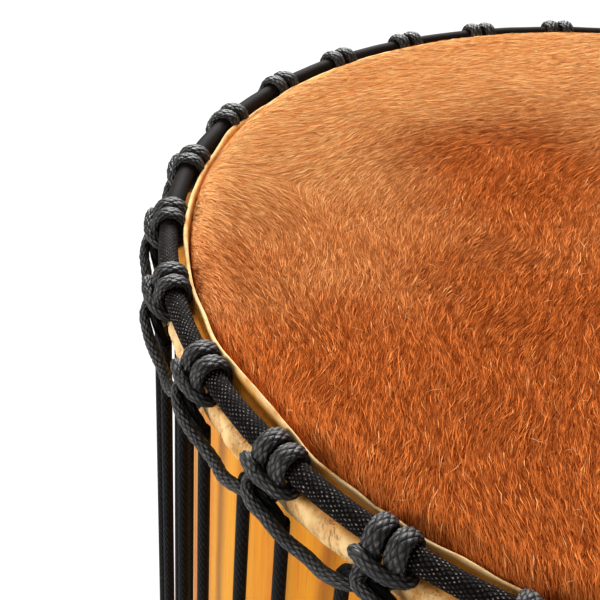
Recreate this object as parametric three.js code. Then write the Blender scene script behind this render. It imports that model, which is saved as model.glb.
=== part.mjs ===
// Dunun: a large cylinder drum with a hide head at each end, held by rope.
// Lengths are millimetres and +Z is up. The origin is the centre of the lower head's face.
// Each end has a hide lapped round a flesh hoop, a sleeved crown ring that presses on the hoop,
// and a cradle rope that is hitched to the crown ring all the way round.
// One pull rope runs up and down the shell and draws the two cradle ropes together.

import * as THREE from 'three';

// Wooden shell
const drumHeight = 650;
const shellRadius = 240;
const shellWall = 20;
const bearingRound = 8;
const bearingFlat = 3;
const bearingBevel = 9;

// Hide heads
const hideThickness = 1.6;
const flapBelowFace = 5;

// Steel rods of the flesh hoops and crown rings, and the woven sleeve on a crown ring
const fleshRodRadius = 5;
const crownRodRadius = 3.2;
const sleeveWall = 0.85;
const sleeveSeam = 1;

// Room for the hitched rope round a sleeve: towards the flap, towards the face and towards the roll
const wrapSpace = 3.4;
const wrapRise = 3;
const wrapDrop = 4.15;

// Ropes
const ropeRadius = 2.5;
const pressedHalfThickness = 1.3;
const pressedHalfWidth = 2.6;
const ropeStandOff = 12.1;
const hitchCount = 30;

// Fit between neighbouring pieces
const pieceGap = 0.35;
const leastRopeGap = 0.4;

// Facets
const facetCount = 36;
const roundSteps = 2;
const rodSides = 6;
const sleeveSides = 8;

// Radii and heights that follow from the sizes above, measured down from a head's face
const hideInnerRadius = shellRadius + pieceGap;
const hideOuterRadius = hideInnerRadius + hideThickness;
const flapInnerRadius = hideOuterRadius + pieceGap;
const flapOuterRadius = flapInnerRadius + hideThickness;
const lapRadius = fleshRodRadius + pieceGap;
const rollRadius = lapRadius + hideThickness;
const hoopRingRadius = hideInnerRadius + rollRadius;
const sleeveInnerRadius = crownRodRadius + pieceGap;
const sleeveOuterRadius = sleeveInnerRadius + sleeveWall;
const crownRingRadius = flapOuterRadius + wrapSpace + sleeveOuterRadius;
const crownBelowFace = sleeveOuterRadius + wrapRise;
const hoopBelowFace = crownBelowFace + sleeveOuterRadius + wrapDrop + rollRadius;
const pullRopeRadius = shellRadius + ropeStandOff + ropeRadius;
const hitchPitch = (2 * Math.PI * crownRingRadius) / hitchCount;
const shellEndBelowFace = hideThickness + pieceGap;

// A square section of half this side has the area of the round rope.
const ropeHalfSide = (ropeRadius * Math.sqrt(Math.PI)) / 2;

// A fullness of 1 is the round rope, and 0 is the rope pressed flat against the crown ring.
const round = 1;
const pressed = 0;

// One wrap of a cow hitch, from the front of the crown ring over it to its underside:
// along the ring, place round the sleeve in degrees, distance off the sleeve, and the way
// the flat side faces in degrees. Outward is 0 degrees and up is 90 degrees.
const hitchWrap = [
  [4.5, 4, 2.5, 4],
  [4.5, 62, 2.35, 66],
  [5.2, 137, 3.5, 140],
  [7, 224, 3.55, 220],
];

// The bar of the hitch, which crosses both wraps from the lower right to the upper left.
const hitchBar = [
  [11.2, 293, 5.8, 290],
  [6.2, 327.5, 7.7, 325],
  [-9.7, 349.5, 5.8, 350],
  [-10.8, 290, 4.3, 290],
];

// How the cradle rope comes to a hitch and leaves it, in millimetres from the crown ring's centre:
// along the ring, outward, up, the way the flat side faces in degrees, and the fullness.
const hitchEntry = [
  [-9, 9, -19, 0, round],
  [-0.4, 4, -19.6, 0, 0.3],
];
const hitchExit = [
  [-4.4, 6.4, -8.2, 0, pressed],
  [-5.8, 10.2, -9.9, 20, 0.4],
  [-0.5, 13.2, -12.8, 10, 0.7],
  [9.5, 12.6, -18.6, 0, round],
];
const swagOut = 8.2;
const swagDrop = 22.8;

// Route of the pull rope over the crossing of a hitch, from its left run to its right run.
const leftRun = -14.3;
const pullTurn = [
  [-9.8, 4.7, -14.5, 0, 0.1],
  [1.4, 9.15, -12.9, 10, 0],
  [8.2, 7.6, -14.8, 0, 0.2],
];
const rightRun = 8.6;
const pullRunDrop = 24.5;

// Finishes
const lacqueredWood = new THREE.MeshStandardMaterial({ color: 0xdf9626, roughness: 0.35, metalness: 0 });
const hairedHide = new THREE.MeshStandardMaterial({ color: 0x9a4e22, roughness: 0.85, metalness: 0 });
const steel = new THREE.MeshStandardMaterial({ color: 0x6f7276, roughness: 0.45, metalness: 1 });
const wovenSleeve = new THREE.MeshStandardMaterial({ color: 0x17171a, roughness: 0.75, metalness: 0 });
const blackRope = new THREE.MeshStandardMaterial({ color: 0x222126, roughness: 0.6, metalness: 0 });

// Points of an arc in an (r, z) section, from one angle to another in degrees.
function arcPoints(centreR, centreZ, radius, fromDegrees, toDegrees, steps) {
  const points = [];
  for (let step = 0; step <= steps; step += 1) {
    const degrees = fromDegrees + ((toDegrees - fromDegrees) * step) / steps;
    const angle = THREE.MathUtils.degToRad(degrees);
    points.push([centreR + radius * Math.cos(angle), centreZ + radius * Math.sin(angle)]);
  }
  return points;
}

// Turns a section round the drum's axis. A section on the axis is open there, any other closes on itself.
function revolve(section, material) {
  const points = section.map(([r, z]) => new THREE.Vector2(r, z));
  const closesOnItself = section[0][0] > 0;
  if (closesOnItself) {
    points.push(points[0].clone());
  }
  const geometry = new THREE.LatheGeometry(points, facetCount);
  geometry.rotateX(Math.PI / 2);
  return new THREE.Mesh(geometry, material);
}

// Mirrors a section of the upper end to the lower end and keeps its sense of turning.
function mirrored(section) {
  return section.map(([r, z]) => [r, drumHeight - z]).reverse();
}

// Upper half of the shell's section, from the outside over the bearing edge to the inside.
function shellEdge() {
  const top = drumHeight - shellEndBelowFace;
  const roundR = shellRadius - bearingRound;
  const innerR = shellRadius - shellWall;
  return [
    ...arcPoints(roundR, top - bearingRound, bearingRound, 0, 90, roundSteps),
    [roundR - bearingFlat, top],
    [innerR, top - bearingBevel],
  ];
}

function shellSection() {
  return [...shellEdge(), ...mirrored(shellEdge())];
}

// Section of the upper hide: the membrane, its collar, the lap round the flesh hoop and the flap.
function hideSection() {
  const face = drumHeight;
  const roundR = shellRadius - bearingRound;
  const roundZ = face - shellEndBelowFace - bearingRound;
  const hoopZ = face - hoopBelowFace;
  const flapRise = Math.sqrt(rollRadius ** 2 - (hoopRingRadius - flapOuterRadius) ** 2);
  const lap = arcPoints(hoopRingRadius, hoopZ, lapRadius, 90, -90, rodSides / 2);
  const lapLow = hoopZ - lapRadius / 2;
  const lapHigh = hoopZ + lapRadius / 2;
  return [
    [0, face - hideThickness],
    ...arcPoints(roundR, roundZ, bearingRound + pieceGap, 90, 0, roundSteps),
    ...arcPoints(hoopRingRadius, hoopZ, rollRadius, -180, 45, 5),
    [flapOuterRadius, hoopZ + flapRise],
    [flapOuterRadius, face - flapBelowFace],
    [flapInnerRadius, face - flapBelowFace],
    [flapInnerRadius, lapHigh],
    ...lap,
    [hideOuterRadius, lapLow],
    ...arcPoints(roundR, roundZ, bearingRound + shellEndBelowFace, 0, 90, roundSteps),
    [0, face],
  ];
}

function rodSection(ringRadius, belowFace, rodRadius) {
  const full = arcPoints(ringRadius, drumHeight - belowFace, rodRadius, 30, 390, rodSides);
  return full.slice(0, rodSides);
}

// The sleeve's section is open along a seam on its inner side.
function sleeveSection() {
  const z = drumHeight - crownBelowFace;
  const outerHalf = 180 / sleeveSides;
  const innerHalf = 180 / rodSides;
  const outer = arcPoints(
    crownRingRadius, z, sleeveOuterRadius, outerHalf - 180, 180 - outerHalf, sleeveSides - 1,
  );
  const inner = arcPoints(
    crownRingRadius, z, sleeveInnerRadius, 180 - innerHalf, innerHalf - 180, rodSides - 1,
  );
  const outerFlat = crownRingRadius - sleeveOuterRadius * Math.cos(Math.PI / sleeveSides);
  const innerFlat = crownRingRadius - sleeveInnerRadius * Math.cos(Math.PI / rodSides);
  const halfSeam = sleeveSeam / 2;
  return [
    [outerFlat, z - halfSeam],
    ...outer,
    [outerFlat, z + halfSeam],
    [innerFlat, z + halfSeam],
    ...inner,
    [innerFlat, z - halfSeam],
  ];
}

// Share of its radius that a turned facet keeps at an angle, so that rope lies on the facets.
function facetShare(angle) {
  const facet = (2 * Math.PI) / facetCount;
  const along = ((angle % facet) + facet) % facet;
  return Math.cos(facet / 2) / Math.cos(along - facet / 2);
}

// A route point becomes a station: its place unrolled from the crown ring, and its section.
function station([along, outward, up, facing, fullness], shift, crownZ, upSign) {
  const angle = THREE.MathUtils.degToRad(facing);
  return {
    place: new THREE.Vector3(along + shift, outward, crownZ + upSign * up),
    face: new THREE.Vector3(0, Math.cos(angle), upSign * Math.sin(angle)),
    halfThickness: THREE.MathUtils.lerp(pressedHalfThickness, ropeHalfSide, fullness),
    halfWidth: THREE.MathUtils.lerp(pressedHalfWidth, ropeHalfSide, fullness),
  };
}

// Four corners of the rope's section at each station of one repeat, still unrolled.
function ropeSections(stations) {
  const pitch = new THREE.Vector3(hitchPitch, 0, 0);
  const count = stations.length;
  return stations.map((here, index) => {
    const before = stations[(index + count - 1) % count].place.clone();
    const after = stations[(index + 1) % count].place.clone();
    if (index === 0) {
      before.sub(pitch);
    }
    if (index === count - 1) {
      after.add(pitch);
    }
    const inward = here.place.clone().sub(before).normalize();
    const onward = after.sub(here.place).normalize();
    const run = inward.add(onward).normalize();
    const thin = here.face.clone().addScaledVector(run, -here.face.dot(run)).normalize();
    const wide = run.clone().cross(thin);
    return [[1, 1], [-1, 1], [-1, -1], [1, -1]].map(([thinSign, wideSign]) => here.place.clone()
      .addScaledVector(thin, thinSign * here.halfThickness)
      .addScaledVector(wide, wideSign * here.halfWidth));
  });
}

// Wraps an unrolled point round the drum.
function rolled(point) {
  const angle = point.x / crownRingRadius;
  const radius = (crownRingRadius + point.y) * facetShare(angle);
  return new THREE.Vector3(radius * Math.cos(angle), radius * Math.sin(angle), point.z);
}

// One unbroken tube that repeats its sections round the whole drum and joins its own start.
function ropeTube(name, sections) {
  const sides = sections[0].length;
  const positions = [];
  for (let hitch = 0; hitch < hitchCount; hitch += 1) {
    for (const section of sections) {
      for (const corner of section) {
        const shifted = corner.clone().setX(corner.x + hitch * hitchPitch);
        positions.push(...rolled(shifted).toArray());
      }
    }
  }
  const rings = hitchCount * sections.length;
  const indices = [];
  for (let ring = 0; ring < rings; ring += 1) {
    const next = (ring + 1) % rings;
    for (let side = 0; side < sides; side += 1) {
      const turn = (side + 1) % sides;
      const near = ring * sides;
      const far = next * sides;
      indices.push(near + side, far + turn, near + turn);
      indices.push(near + side, far + side, far + turn);
    }
  }
  const geometry = new THREE.BufferGeometry();
  geometry.setAttribute('position', new THREE.Float32BufferAttribute(positions, 3));
  geometry.setIndex(indices);
  geometry.computeVertexNormals();
  const gap = leastGap(sections).toFixed(2);
  console.log(`${name}: least gap to itself ${gap} mm, wanted over ${leastRopeGap} mm`);
  return new THREE.Mesh(geometry, blackRope);
}

// Least distance between stretches of the tube that aren't neighbours along it,
// measured on points spread over the surface of one repeat and the next.
function leastGap(sections) {
  const finer = 5;
  const spread = [];
  const count = sections.length;
  for (let ring = 0; ring < 2 * count; ring += 1) {
    for (let part = 0; part < finer; part += 1) {
      const points = [];
      for (let side = 0; side < sections[0].length; side += 1) {
        const turn = (side + 1) % sections[0].length;
        for (let across = 0; across < finer; across += 1) {
          const near = shiftedCorner(sections, ring, side)
            .lerp(shiftedCorner(sections, ring, turn), across / finer);
          const far = shiftedCorner(sections, ring + 1, side)
            .lerp(shiftedCorner(sections, ring + 1, turn), across / finer);
          points.push(near.lerp(far, part / finer));
        }
      }
      const centre = points.reduce((sum, point) => sum.add(point), new THREE.Vector3())
        .divideScalar(points.length);
      spread.push({ points, centre });
    }
  }
  let travelled = 0;
  spread.forEach((ring, index) => {
    travelled += index > 0 ? ring.centre.distanceTo(spread[index - 1].centre) : 0;
    ring.travelled = travelled;
  });
  const neighbourLength = 4 * ropeRadius;
  let least = Infinity;
  for (const one of spread.slice(0, count * finer)) {
    for (const other of spread) {
      const apart = one.centre.distanceTo(other.centre);
      if (other.travelled - one.travelled > neighbourLength && apart < least + neighbourLength) {
        for (const point of one.points) {
          for (const facing of other.points) {
            least = Math.min(least, point.distanceTo(facing));
          }
        }
      }
    }
  }
  return least;
}

function shiftedCorner(sections, ring, side) {
  const repeat = Math.floor(ring / sections.length);
  const corner = sections[ring % sections.length][side].clone();
  return corner.setX(corner.x + repeat * hitchPitch);
}

// A place round the sleeve becomes a route point of pressed rope.
function pressedPoint([along, degrees, offSleeve, facing]) {
  const angle = THREE.MathUtils.degToRad(degrees);
  const reach = sleeveOuterRadius + offSleeve;
  return [along, reach * Math.cos(angle), reach * Math.sin(angle), facing, pressed];
}

// Stations of a cradle rope, hitched at the crown ring of one end.
function cradleStations(crownZ, upSign, shift) {
  const swag = [-hitchPitch / 2, swagOut, -swagDrop, 0, round];
  const otherWrap = hitchWrap.map(([along, ...rest]) => [-along, ...rest]).reverse();
  const hitch = [...hitchWrap, ...hitchBar, ...otherWrap].map(pressedPoint);
  const route = [swag, ...hitchEntry, ...hitch, ...hitchExit];
  return route.map((point) => station(point, shift, crownZ, upSign));
}

// Stations of the pull rope: a turn over an upper hitch, a run down, a turn at the lower end, a run up.
function pullStations(upperCrownZ, lowerCrownZ) {
  const out = pullRopeRadius - crownRingRadius;
  const turn = [
    [leftRun, out, -pullRunDrop, 0, round],
    ...pullTurn,
    [rightRun, out, -pullRunDrop, 0, round],
  ];
  return [
    ...turn.map((point) => station(point, 0, upperCrownZ, 1)),
    ...turn.map((point) => station(point, hitchPitch / 2, lowerCrownZ, -1)),
  ];
}

const dunun = new THREE.Group();

function place(name, mesh) {
  mesh.name = name;
  dunun.add(mesh);
}

place('shell', revolve(shellSection(), lacqueredWood));
for (const [end, turned] of [['top', (section) => section], ['bottom', mirrored]]) {
  place(`${end}_head`, revolve(turned(hideSection()), hairedHide));
  const hoop = rodSection(hoopRingRadius, hoopBelowFace, fleshRodRadius);
  const crown = rodSection(crownRingRadius, crownBelowFace, crownRodRadius);
  place(`${end}_flesh_hoop`, revolve(turned(hoop), steel));
  place(`${end}_crown_ring`, revolve(turned(crown), steel));
  place(`${end}_crown_sleeve`, revolve(turned(sleeveSection()), wovenSleeve));
}

const upperCrownZ = drumHeight - crownBelowFace;
const lowerCrownZ = crownBelowFace;
const upperCradle = ropeSections(cradleStations(upperCrownZ, 1, 0));
const lowerCradle = ropeSections(cradleStations(lowerCrownZ, -1, hitchPitch / 2));
place('top_cradle_rope', ropeTube('top_cradle_rope', upperCradle));
place('bottom_cradle_rope', ropeTube('bottom_cradle_rope', lowerCradle));
place('pull_rope', ropeTube('pull_rope', ropeSections(pullStations(upperCrownZ, lowerCrownZ))));

export default dunun;
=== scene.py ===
"""Visual model of a large rope-tensioned dunun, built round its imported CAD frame.

Lengths are metres and angles are radians, unless a name ends in _mm or _degrees or a docstring
says so, as it does for the rows of the ropes' routes, which are in mm. The drum stands on its
lower head with +Z up. The ropes are worked out unrolled, as (along, outward, up) from a crown
ring's centre line, and are then rolled round the drum's axis.
"""

from __future__ import annotations

import logging
import math
from dataclasses import dataclass, field
from enum import Enum

import bpy
import numpy as np
from mathutils import Matrix, Vector

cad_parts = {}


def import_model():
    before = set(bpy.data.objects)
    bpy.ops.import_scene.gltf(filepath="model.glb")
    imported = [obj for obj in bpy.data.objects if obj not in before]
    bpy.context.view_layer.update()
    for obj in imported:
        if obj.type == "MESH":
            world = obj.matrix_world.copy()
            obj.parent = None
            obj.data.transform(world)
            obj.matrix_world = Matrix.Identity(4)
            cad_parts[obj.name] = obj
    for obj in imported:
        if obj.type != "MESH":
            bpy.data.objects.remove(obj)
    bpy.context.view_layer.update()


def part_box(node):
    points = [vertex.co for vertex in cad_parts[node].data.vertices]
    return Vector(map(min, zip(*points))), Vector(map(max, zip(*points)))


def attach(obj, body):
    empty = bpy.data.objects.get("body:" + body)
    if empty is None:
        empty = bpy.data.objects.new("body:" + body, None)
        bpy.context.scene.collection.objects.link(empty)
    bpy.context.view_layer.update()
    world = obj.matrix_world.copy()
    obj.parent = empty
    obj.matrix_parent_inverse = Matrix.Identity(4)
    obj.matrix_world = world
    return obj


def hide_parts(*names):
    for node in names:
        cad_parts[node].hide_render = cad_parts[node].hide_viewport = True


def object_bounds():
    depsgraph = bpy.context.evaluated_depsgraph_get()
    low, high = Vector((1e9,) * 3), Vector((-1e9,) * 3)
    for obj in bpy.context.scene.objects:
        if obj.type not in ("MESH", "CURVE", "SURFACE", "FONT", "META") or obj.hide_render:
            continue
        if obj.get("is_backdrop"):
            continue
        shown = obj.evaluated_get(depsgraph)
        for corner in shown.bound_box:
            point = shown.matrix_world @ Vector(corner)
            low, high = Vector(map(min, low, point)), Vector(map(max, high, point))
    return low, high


LOG = logging.getLogger("dunun")
MM = 0.001
TAU = 2.0 * math.pi
ROOT_BODY = "root"

# Power that narrows a yarn of the braid where it dives under the next one
TUCK = 0.35
# Keeps divisions clear of 0
TINY = 1e-9
# Sides of the CAD sleeve's section, whose flats touch its box
SLEEVE_SIDES = 8

Triple = tuple[float, float, float]
Colour = Triple
Span = tuple[float, float]
Point = tuple[float, float]
Table = tuple[tuple[float, ...], ...]
Array = np.ndarray
Mesh = bpy.types.Mesh
Material = bpy.types.Material
Socket = bpy.types.NodeSocket


class End(Enum):
    """The two ends of the drum, with the sense of up there."""

    TOP = 1
    BOTTOM = -1

    @property
    def label(self) -> str:
        """Name prefix of the pieces at this end."""
        return self.name.lower()

    @property
    def number(self) -> int:
        """0 at the top and 1 at the bottom, so that the ends draw different random numbers."""
        return 0 if self is End.TOP else 1


class Slot(Enum):
    """Material slots of the record."""

    WOOD = "lacquered_wood"
    HIDE = "haired_hide"
    STEEL = "steel"
    SLEEVE = "woven_sleeve"
    ROPE = "black_rope"


@dataclass(frozen=True)
class DrumSizes:
    """Sizes of the drum, worked out from the frame's boxes.

    Rows of drifts_mm are a hitch's number and how far it sits from even spacing. Rows of trims_mm are
    a place counted in hitches, the drop of the upper flap's edge there and its further lean.
    """

    height: float
    shell_radius: float
    crown_radius: float
    crown_drop: float
    sleeve_radius: float
    hoop_drop: float
    flesh_rod: float = 5.0 * MM
    crown_rod: float = 3.2 * MM
    hide: float = 1.6 * MM
    gap: float = 0.35 * MM
    edge_round: float = 8.0 * MM
    wall: float = 20.0 * MM
    flap_drop: float = 5.0 * MM
    hitches: int = 30
    drifts_mm: Table = (
        (12, 0.0),
        (13, -1.0),
        (14, -2.4),
        (15, -3.4),
        (16, -4.2),
        (17, -4.2),
        (18, -3.3),
        (19, -0.2),
        (20, 2.9),
        (21, 2.6),
        (22, 1.2),
        (23, 0.0),
    )
    trims_mm: Table = (
        (14.0, 5.0, 0.0),
        (15.2, 5.6, 1.1),
        (16.2, 5.4, 0.9),
        (16.8, 4.2, 0.2),
        (17.3, 5.2, 0.0),
        (18.1, 5.9, 0.0),
        (18.5, 5.0, 0.0),
        (18.8, 3.6, 0.0),
        (19.05, 1.8, 0.0),
        (19.35, 1.1, 0.3),
        (19.6, 2.0, 0.3),
        (20.05, 2.4, 0.0),
        (20.25, 5.0, 0.0),
        (20.5, 6.3, -0.2),
        (20.8, 7.2, -0.2),
        (20.95, 5.7, 0.0),
        (21.2, 5.4, 0.0),
        (21.45, 4.7, 0.0),
        (21.7, 5.7, 0.0),
        (22.5, 5.0, 0.0),
    )

    @classmethod
    def from_frame(cls) -> DrumSizes:
        """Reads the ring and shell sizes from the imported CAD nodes.

        Returns:
            The sizes that every piece is built on.
        """
        low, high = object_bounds()
        shell_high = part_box("shell")[1]
        sleeve_low, sleeve_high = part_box("top_crown_sleeve")
        rod_low, rod_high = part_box("top_flesh_hoop")
        height = high[2] - low[2]
        sleeve_half = 0.5 * (sleeve_high[2] - sleeve_low[2])
        return cls(
            height=height,
            shell_radius=shell_high[0],
            crown_radius=sleeve_high[0] - sleeve_half,
            crown_drop=height - 0.5 * (sleeve_high[2] + sleeve_low[2]),
            sleeve_radius=sleeve_half / math.cos(math.pi / SLEEVE_SIDES),
            hoop_drop=height - 0.5 * (rod_high[2] + rod_low[2]),
        )

    @property
    def roll_radius(self) -> float:
        """Outer radius of the hide where it is lapped round the flesh hoop."""
        return self.flesh_rod + self.gap + self.hide

    @property
    def hoop_radius(self) -> float:
        """Radius of the flesh hoop's centre line."""
        return self.shell_radius + self.gap + self.roll_radius

    @property
    def pitch(self) -> float:
        """Distance between hitches along the crown ring."""
        return TAU * self.crown_radius / self.hitches

    @property
    def collar_radius(self) -> float:
        """Outer radius of the hide where it runs down the shell."""
        return self.shell_radius + self.gap + self.hide

    @property
    def flap_radius(self) -> float:
        """Radius at the middle of the flap's thickness."""
        return self.collar_radius + self.gap + 0.5 * self.hide

    def drift(self, along_mm: Array) -> Array:
        """How far the upper hitches sit from even spacing, as they were tied by hand.

        Args:
            along_mm: Places along the ring.

        Returns:
            The shifts there, in mm.
        """
        hitches, shifts = zip(*self.drifts_mm)
        return np.interp(along_mm / (self.pitch / MM) % self.hitches, hitches, shifts)

    def trim(self, angle: Array) -> tuple[Array, Array]:
        """Where the upper flap was cut, and how much further it leans out, round the drum.

        Args:
            angle: Angles round the drum's axis.

        Returns:
            The drops of its edge below the head, and the further leans.
        """
        hitches, drops, leans = zip(*self.trims_mm)
        place = angle / TAU * self.hitches % self.hitches
        return np.interp(place, hitches, drops) * MM, np.interp(place, hitches, leans) * MM

    def level(self, end: End, drop: float) -> float:
        """Height of a level that lies a drop inside a head's face.

        Args:
            end: Which head.
            drop: Distance from that head's face towards the other.

        Returns:
            The level's z.
        """
        return self.height - drop if end is End.TOP else drop

    def placed(self, points: Array, end: End) -> Array:
        """Puts points that are worked out at the upper end where they belong.

        Args:
            points: Points, with x, y and z in the last axis.
            end: The end that they are for; at the lower one their z is turned to height - z.

        Returns:
            The points there.
        """
        if end is End.TOP:
            return points
        return np.stack([points[..., 0], points[..., 1], self.height - points[..., 2]], axis=-1)


@dataclass(frozen=True)
class Fade:
    """A share that grows from 0 to its most over a length, which is negative where it grows downwards."""

    start: float
    length: float
    most: float = 1.0

    def at(self, values: Array, origin: float = 0.0) -> Array:
        """Share at each value: most times (value - origin - start) / length, held between its ends.

        Args:
            values: The values.
            origin: Where they are counted from.

        Returns:
            One share for each value.
        """
        return self.most * np.clip((values - origin - self.start) / self.length, 0.0, 1.0)


def smooth_noise(points: Array, scale: float, seed: int, octaves: int) -> Array:
    """Smooth noise of about -1 to 1 as a sum of sines along random directions.

    Args:
        points: Places, with three values in the last axis.
        scale: Wavelength of the coarsest octave.
        seed: Seed of the random directions and phases.
        octaves: Number of octaves, each twice as fine and half as strong.

    Returns:
        One value for each point.
    """
    rng = np.random.default_rng(seed)
    total = np.zeros(points.shape[:-1])
    waves, spread = 7, (0.7, 1.4)
    for octave in range(octaves):
        directions = rng.normal(size=(waves, 3))
        directions /= np.linalg.norm(directions, axis=1, keepdims=True)
        lengths = scale / (2.0**octave) * rng.uniform(*spread, waves)
        phases = rng.uniform(0.0, TAU, waves)
        strength = 1.0 / (waves**0.5 * 2.0**octave)
        for direction, length, phase in zip(directions, lengths, phases):
            total += np.sin(points @ direction * (TAU / length) + phase) * strength
    return total


def new_object(mesh: Mesh, material: Material) -> bpy.types.Object:
    """Links a mesh into the scene as an object of the same name with one material.

    Args:
        mesh: The mesh.
        material: Its finish.

    Returns:
        The new object.
    """
    mesh.materials.append(material)
    piece = bpy.data.objects.new(mesh.name, mesh)
    bpy.context.scene.collection.objects.link(piece)
    return piece


def seat(mesh: Mesh, finish: Material, node: str) -> None:
    """Makes a mesh a piece with its material that rides the drum's body and stands for a CAD node.

    Args:
        mesh: The finished mesh.
        finish: Its material.
        node: CAD node that the piece replaces.
    """
    piece = new_object(mesh, finish)
    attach(piece, ROOT_BODY)
    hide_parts(node)
    LOG.info("%s: %d faces", piece.name, len(mesh.polygons))


def fill_mesh(name: str, vertices: Array, corners: Array, sizes: Array) -> Mesh:
    """Makes a mesh from whole arrays.

    Args:
        name: Name of the mesh.
        vertices: Vertex places, n by 3.
        corners: Vertex index of every face corner, in order.
        sizes: Number of corners of each face.

    Returns:
        The mesh, shaded smooth.
    """
    mesh = bpy.data.meshes.new(name)
    mesh.vertices.add(len(vertices))
    mesh.vertices.foreach_set("co", np.ascontiguousarray(vertices, dtype=np.float32).ravel())
    mesh.loops.add(len(corners))
    mesh.loops.foreach_set("vertex_index", np.ascontiguousarray(corners, dtype=np.int32))
    starts = np.concatenate([[0], np.cumsum(sizes)[:-1]]).astype(np.int32)
    mesh.polygons.add(len(sizes))
    mesh.polygons.foreach_set("loop_start", starts)
    mesh.polygons.foreach_set("use_smooth", np.ones(len(sizes), dtype=bool))
    mesh.update(calc_edges=True)
    mesh.validate()
    return mesh


def blade_mesh(name: str, blades: Array, flip: bool) -> Mesh:
    """Makes a mesh with one face for each four-cornered blade.

    Args:
        name: Name of the mesh.
        blades: Corners of the blades, n by 4 by 3.
        flip: Whether the faces are turned over.

    Returns:
        The mesh.
    """
    corners = np.arange(4 * len(blades)).reshape(-1, 4)
    corners = corners[:, ::-1] if flip else corners
    return fill_mesh(name, blades.reshape(-1, 3), corners.ravel(), np.full(len(blades), 4))


def set_attribute(mesh: Mesh, name: str, values: Array) -> None:
    """Stores one number for each vertex under a name that a material can read.

    Args:
        mesh: The mesh.
        name: Name of the attribute.
        values: One value for each vertex.
    """
    layer = mesh.attributes.new(name, "FLOAT", "POINT")
    layer.data.foreach_set("value", np.ascontiguousarray(values, dtype=np.float32).ravel())


def grid_mesh(
    name: str,
    points: Array,
    wrap_rows: bool,
    wrap_columns: bool,
    flip: bool = False,
    uv_box: tuple[float, float, float, float] | None = None,
) -> Mesh:
    """Skins a grid of points with quads, from points[row, column].

    Args:
        name: Name of the mesh.
        points: Rows by columns by 3.
        wrap_rows: Whether the last row joins the first.
        wrap_columns: Whether the last column joins the first.
        flip: Turns the faces over.
        uv_box: u and v of the first row and column and of the last ones, or None for no UV map.

    Returns:
        The mesh.
    """
    rows, columns = points.shape[:2]
    row_count = rows if wrap_rows else rows - 1
    column_count = columns if wrap_columns else columns - 1
    row, column = np.meshgrid(np.arange(row_count), np.arange(column_count), indexing="ij")
    steps = [(0, 0), (1, 0), (1, 1), (0, 1)]
    if flip:
        steps = steps[::-1]
    corner_rows = np.stack([row + down for down, _ in steps], axis=-1)
    corner_columns = np.stack([column + across for _, across in steps], axis=-1)
    index = (corner_rows % rows) * columns + corner_columns % columns
    sizes = np.full(row_count * column_count, 4, dtype=np.int32)
    mesh = fill_mesh(name, points.reshape(-1, 3), index.ravel(), sizes)
    if uv_box is not None:
        layer = mesh.uv_layers.new(name="UVMap")
        u = uv_box[0] + corner_rows / row_count * (uv_box[2] - uv_box[0])
        v = uv_box[1] + corner_columns / column_count * (uv_box[3] - uv_box[1])
        layer.data.foreach_set("uv", np.stack([u, v], axis=-1).astype(np.float32).ravel())
    return mesh


def full_turn(count: int) -> Array:
    """Even angles round a full turn, the first of them 0."""
    return np.arange(count) * TAU / count


def round_axis(radius: Array, angle: Array, height: Array) -> Array:
    """Places round the drum's axis: (radius cos angle, radius sin angle, height).

    Args:
        radius: Distances from the axis.
        angle: Angles round it.
        height: Heights; the three arrays stretch to one shape.

    Returns:
        Points, with x, y and z in the last axis.
    """
    return np.stack(np.broadcast_arrays(radius * np.cos(angle), radius * np.sin(angle), height), axis=-1)


def revolve_profile(profile: Array, angles: Array) -> Array:
    """Turns a profile of (radius, z) round the axis.

    Args:
        profile: n by 2.
        angles: Angles of the rows.

    Returns:
        Grid of points, angles by n by 3.
    """
    return round_axis(profile[None, :, 0], angles[:, None], profile[None, :, 1])


def arc(centre: Point, radius: float, start_degrees: float, stop_degrees: float, steps: int) -> Array:
    """Points of an arc in a section: centre + radius (cos angle, sin angle).

    Args:
        centre: Centre as (radius, z).
        radius: The arc's radius.
        start_degrees: First angle.
        stop_degrees: Last angle.
        steps: Number of steps.

    Returns:
        steps + 1 points.
    """
    angles = np.radians(np.linspace(start_degrees, stop_degrees, steps + 1))
    return np.stack([centre[0] + radius * np.cos(angles), centre[1] + radius * np.sin(angles)], axis=1)


def even_steps(path: Array, step: float) -> Array:
    """Resamples rows at even distances of their first three values, all columns alike.

    Args:
        path: Rows whose first three values are a place.
        step: Wanted distance.

    Returns:
        The new rows, with the last row kept.
    """
    steps = np.linalg.norm(np.diff(path[:, :3], axis=0), axis=1)
    distance = np.concatenate([[0.0], np.cumsum(steps)])
    count = max(2, int(round(distance[-1] / step)))
    wanted = np.linspace(0.0, distance[-1], count + 1)
    return np.stack([np.interp(wanted, distance, column) for column in path.T], axis=1)


def through_points(points: Array, per_span: int) -> Array:
    """Catmull-Rom curve through rows of values, without the first and the last row.

    Args:
        points: Rows of values.
        per_span: Samples for each span.

    Returns:
        The dense rows, from the second row to the last but one.
    """
    share = np.linspace(0.0, 1.0, per_span, endpoint=False)[None, :, None]
    before, here, after, beyond = (points[k : len(points) - 3 + k][:, None, :] for k in range(4))
    curve = 0.5 * (
        2.0 * here
        + (after - before) * share
        + (2.0 * before - 5.0 * here + 4.0 * after - beyond) * share**2
        + (3.0 * here - before - 3.0 * after + beyond) * share**3
    )
    return np.concatenate([curve.reshape(-1, points.shape[1]), points[-2:-1]])


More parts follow.
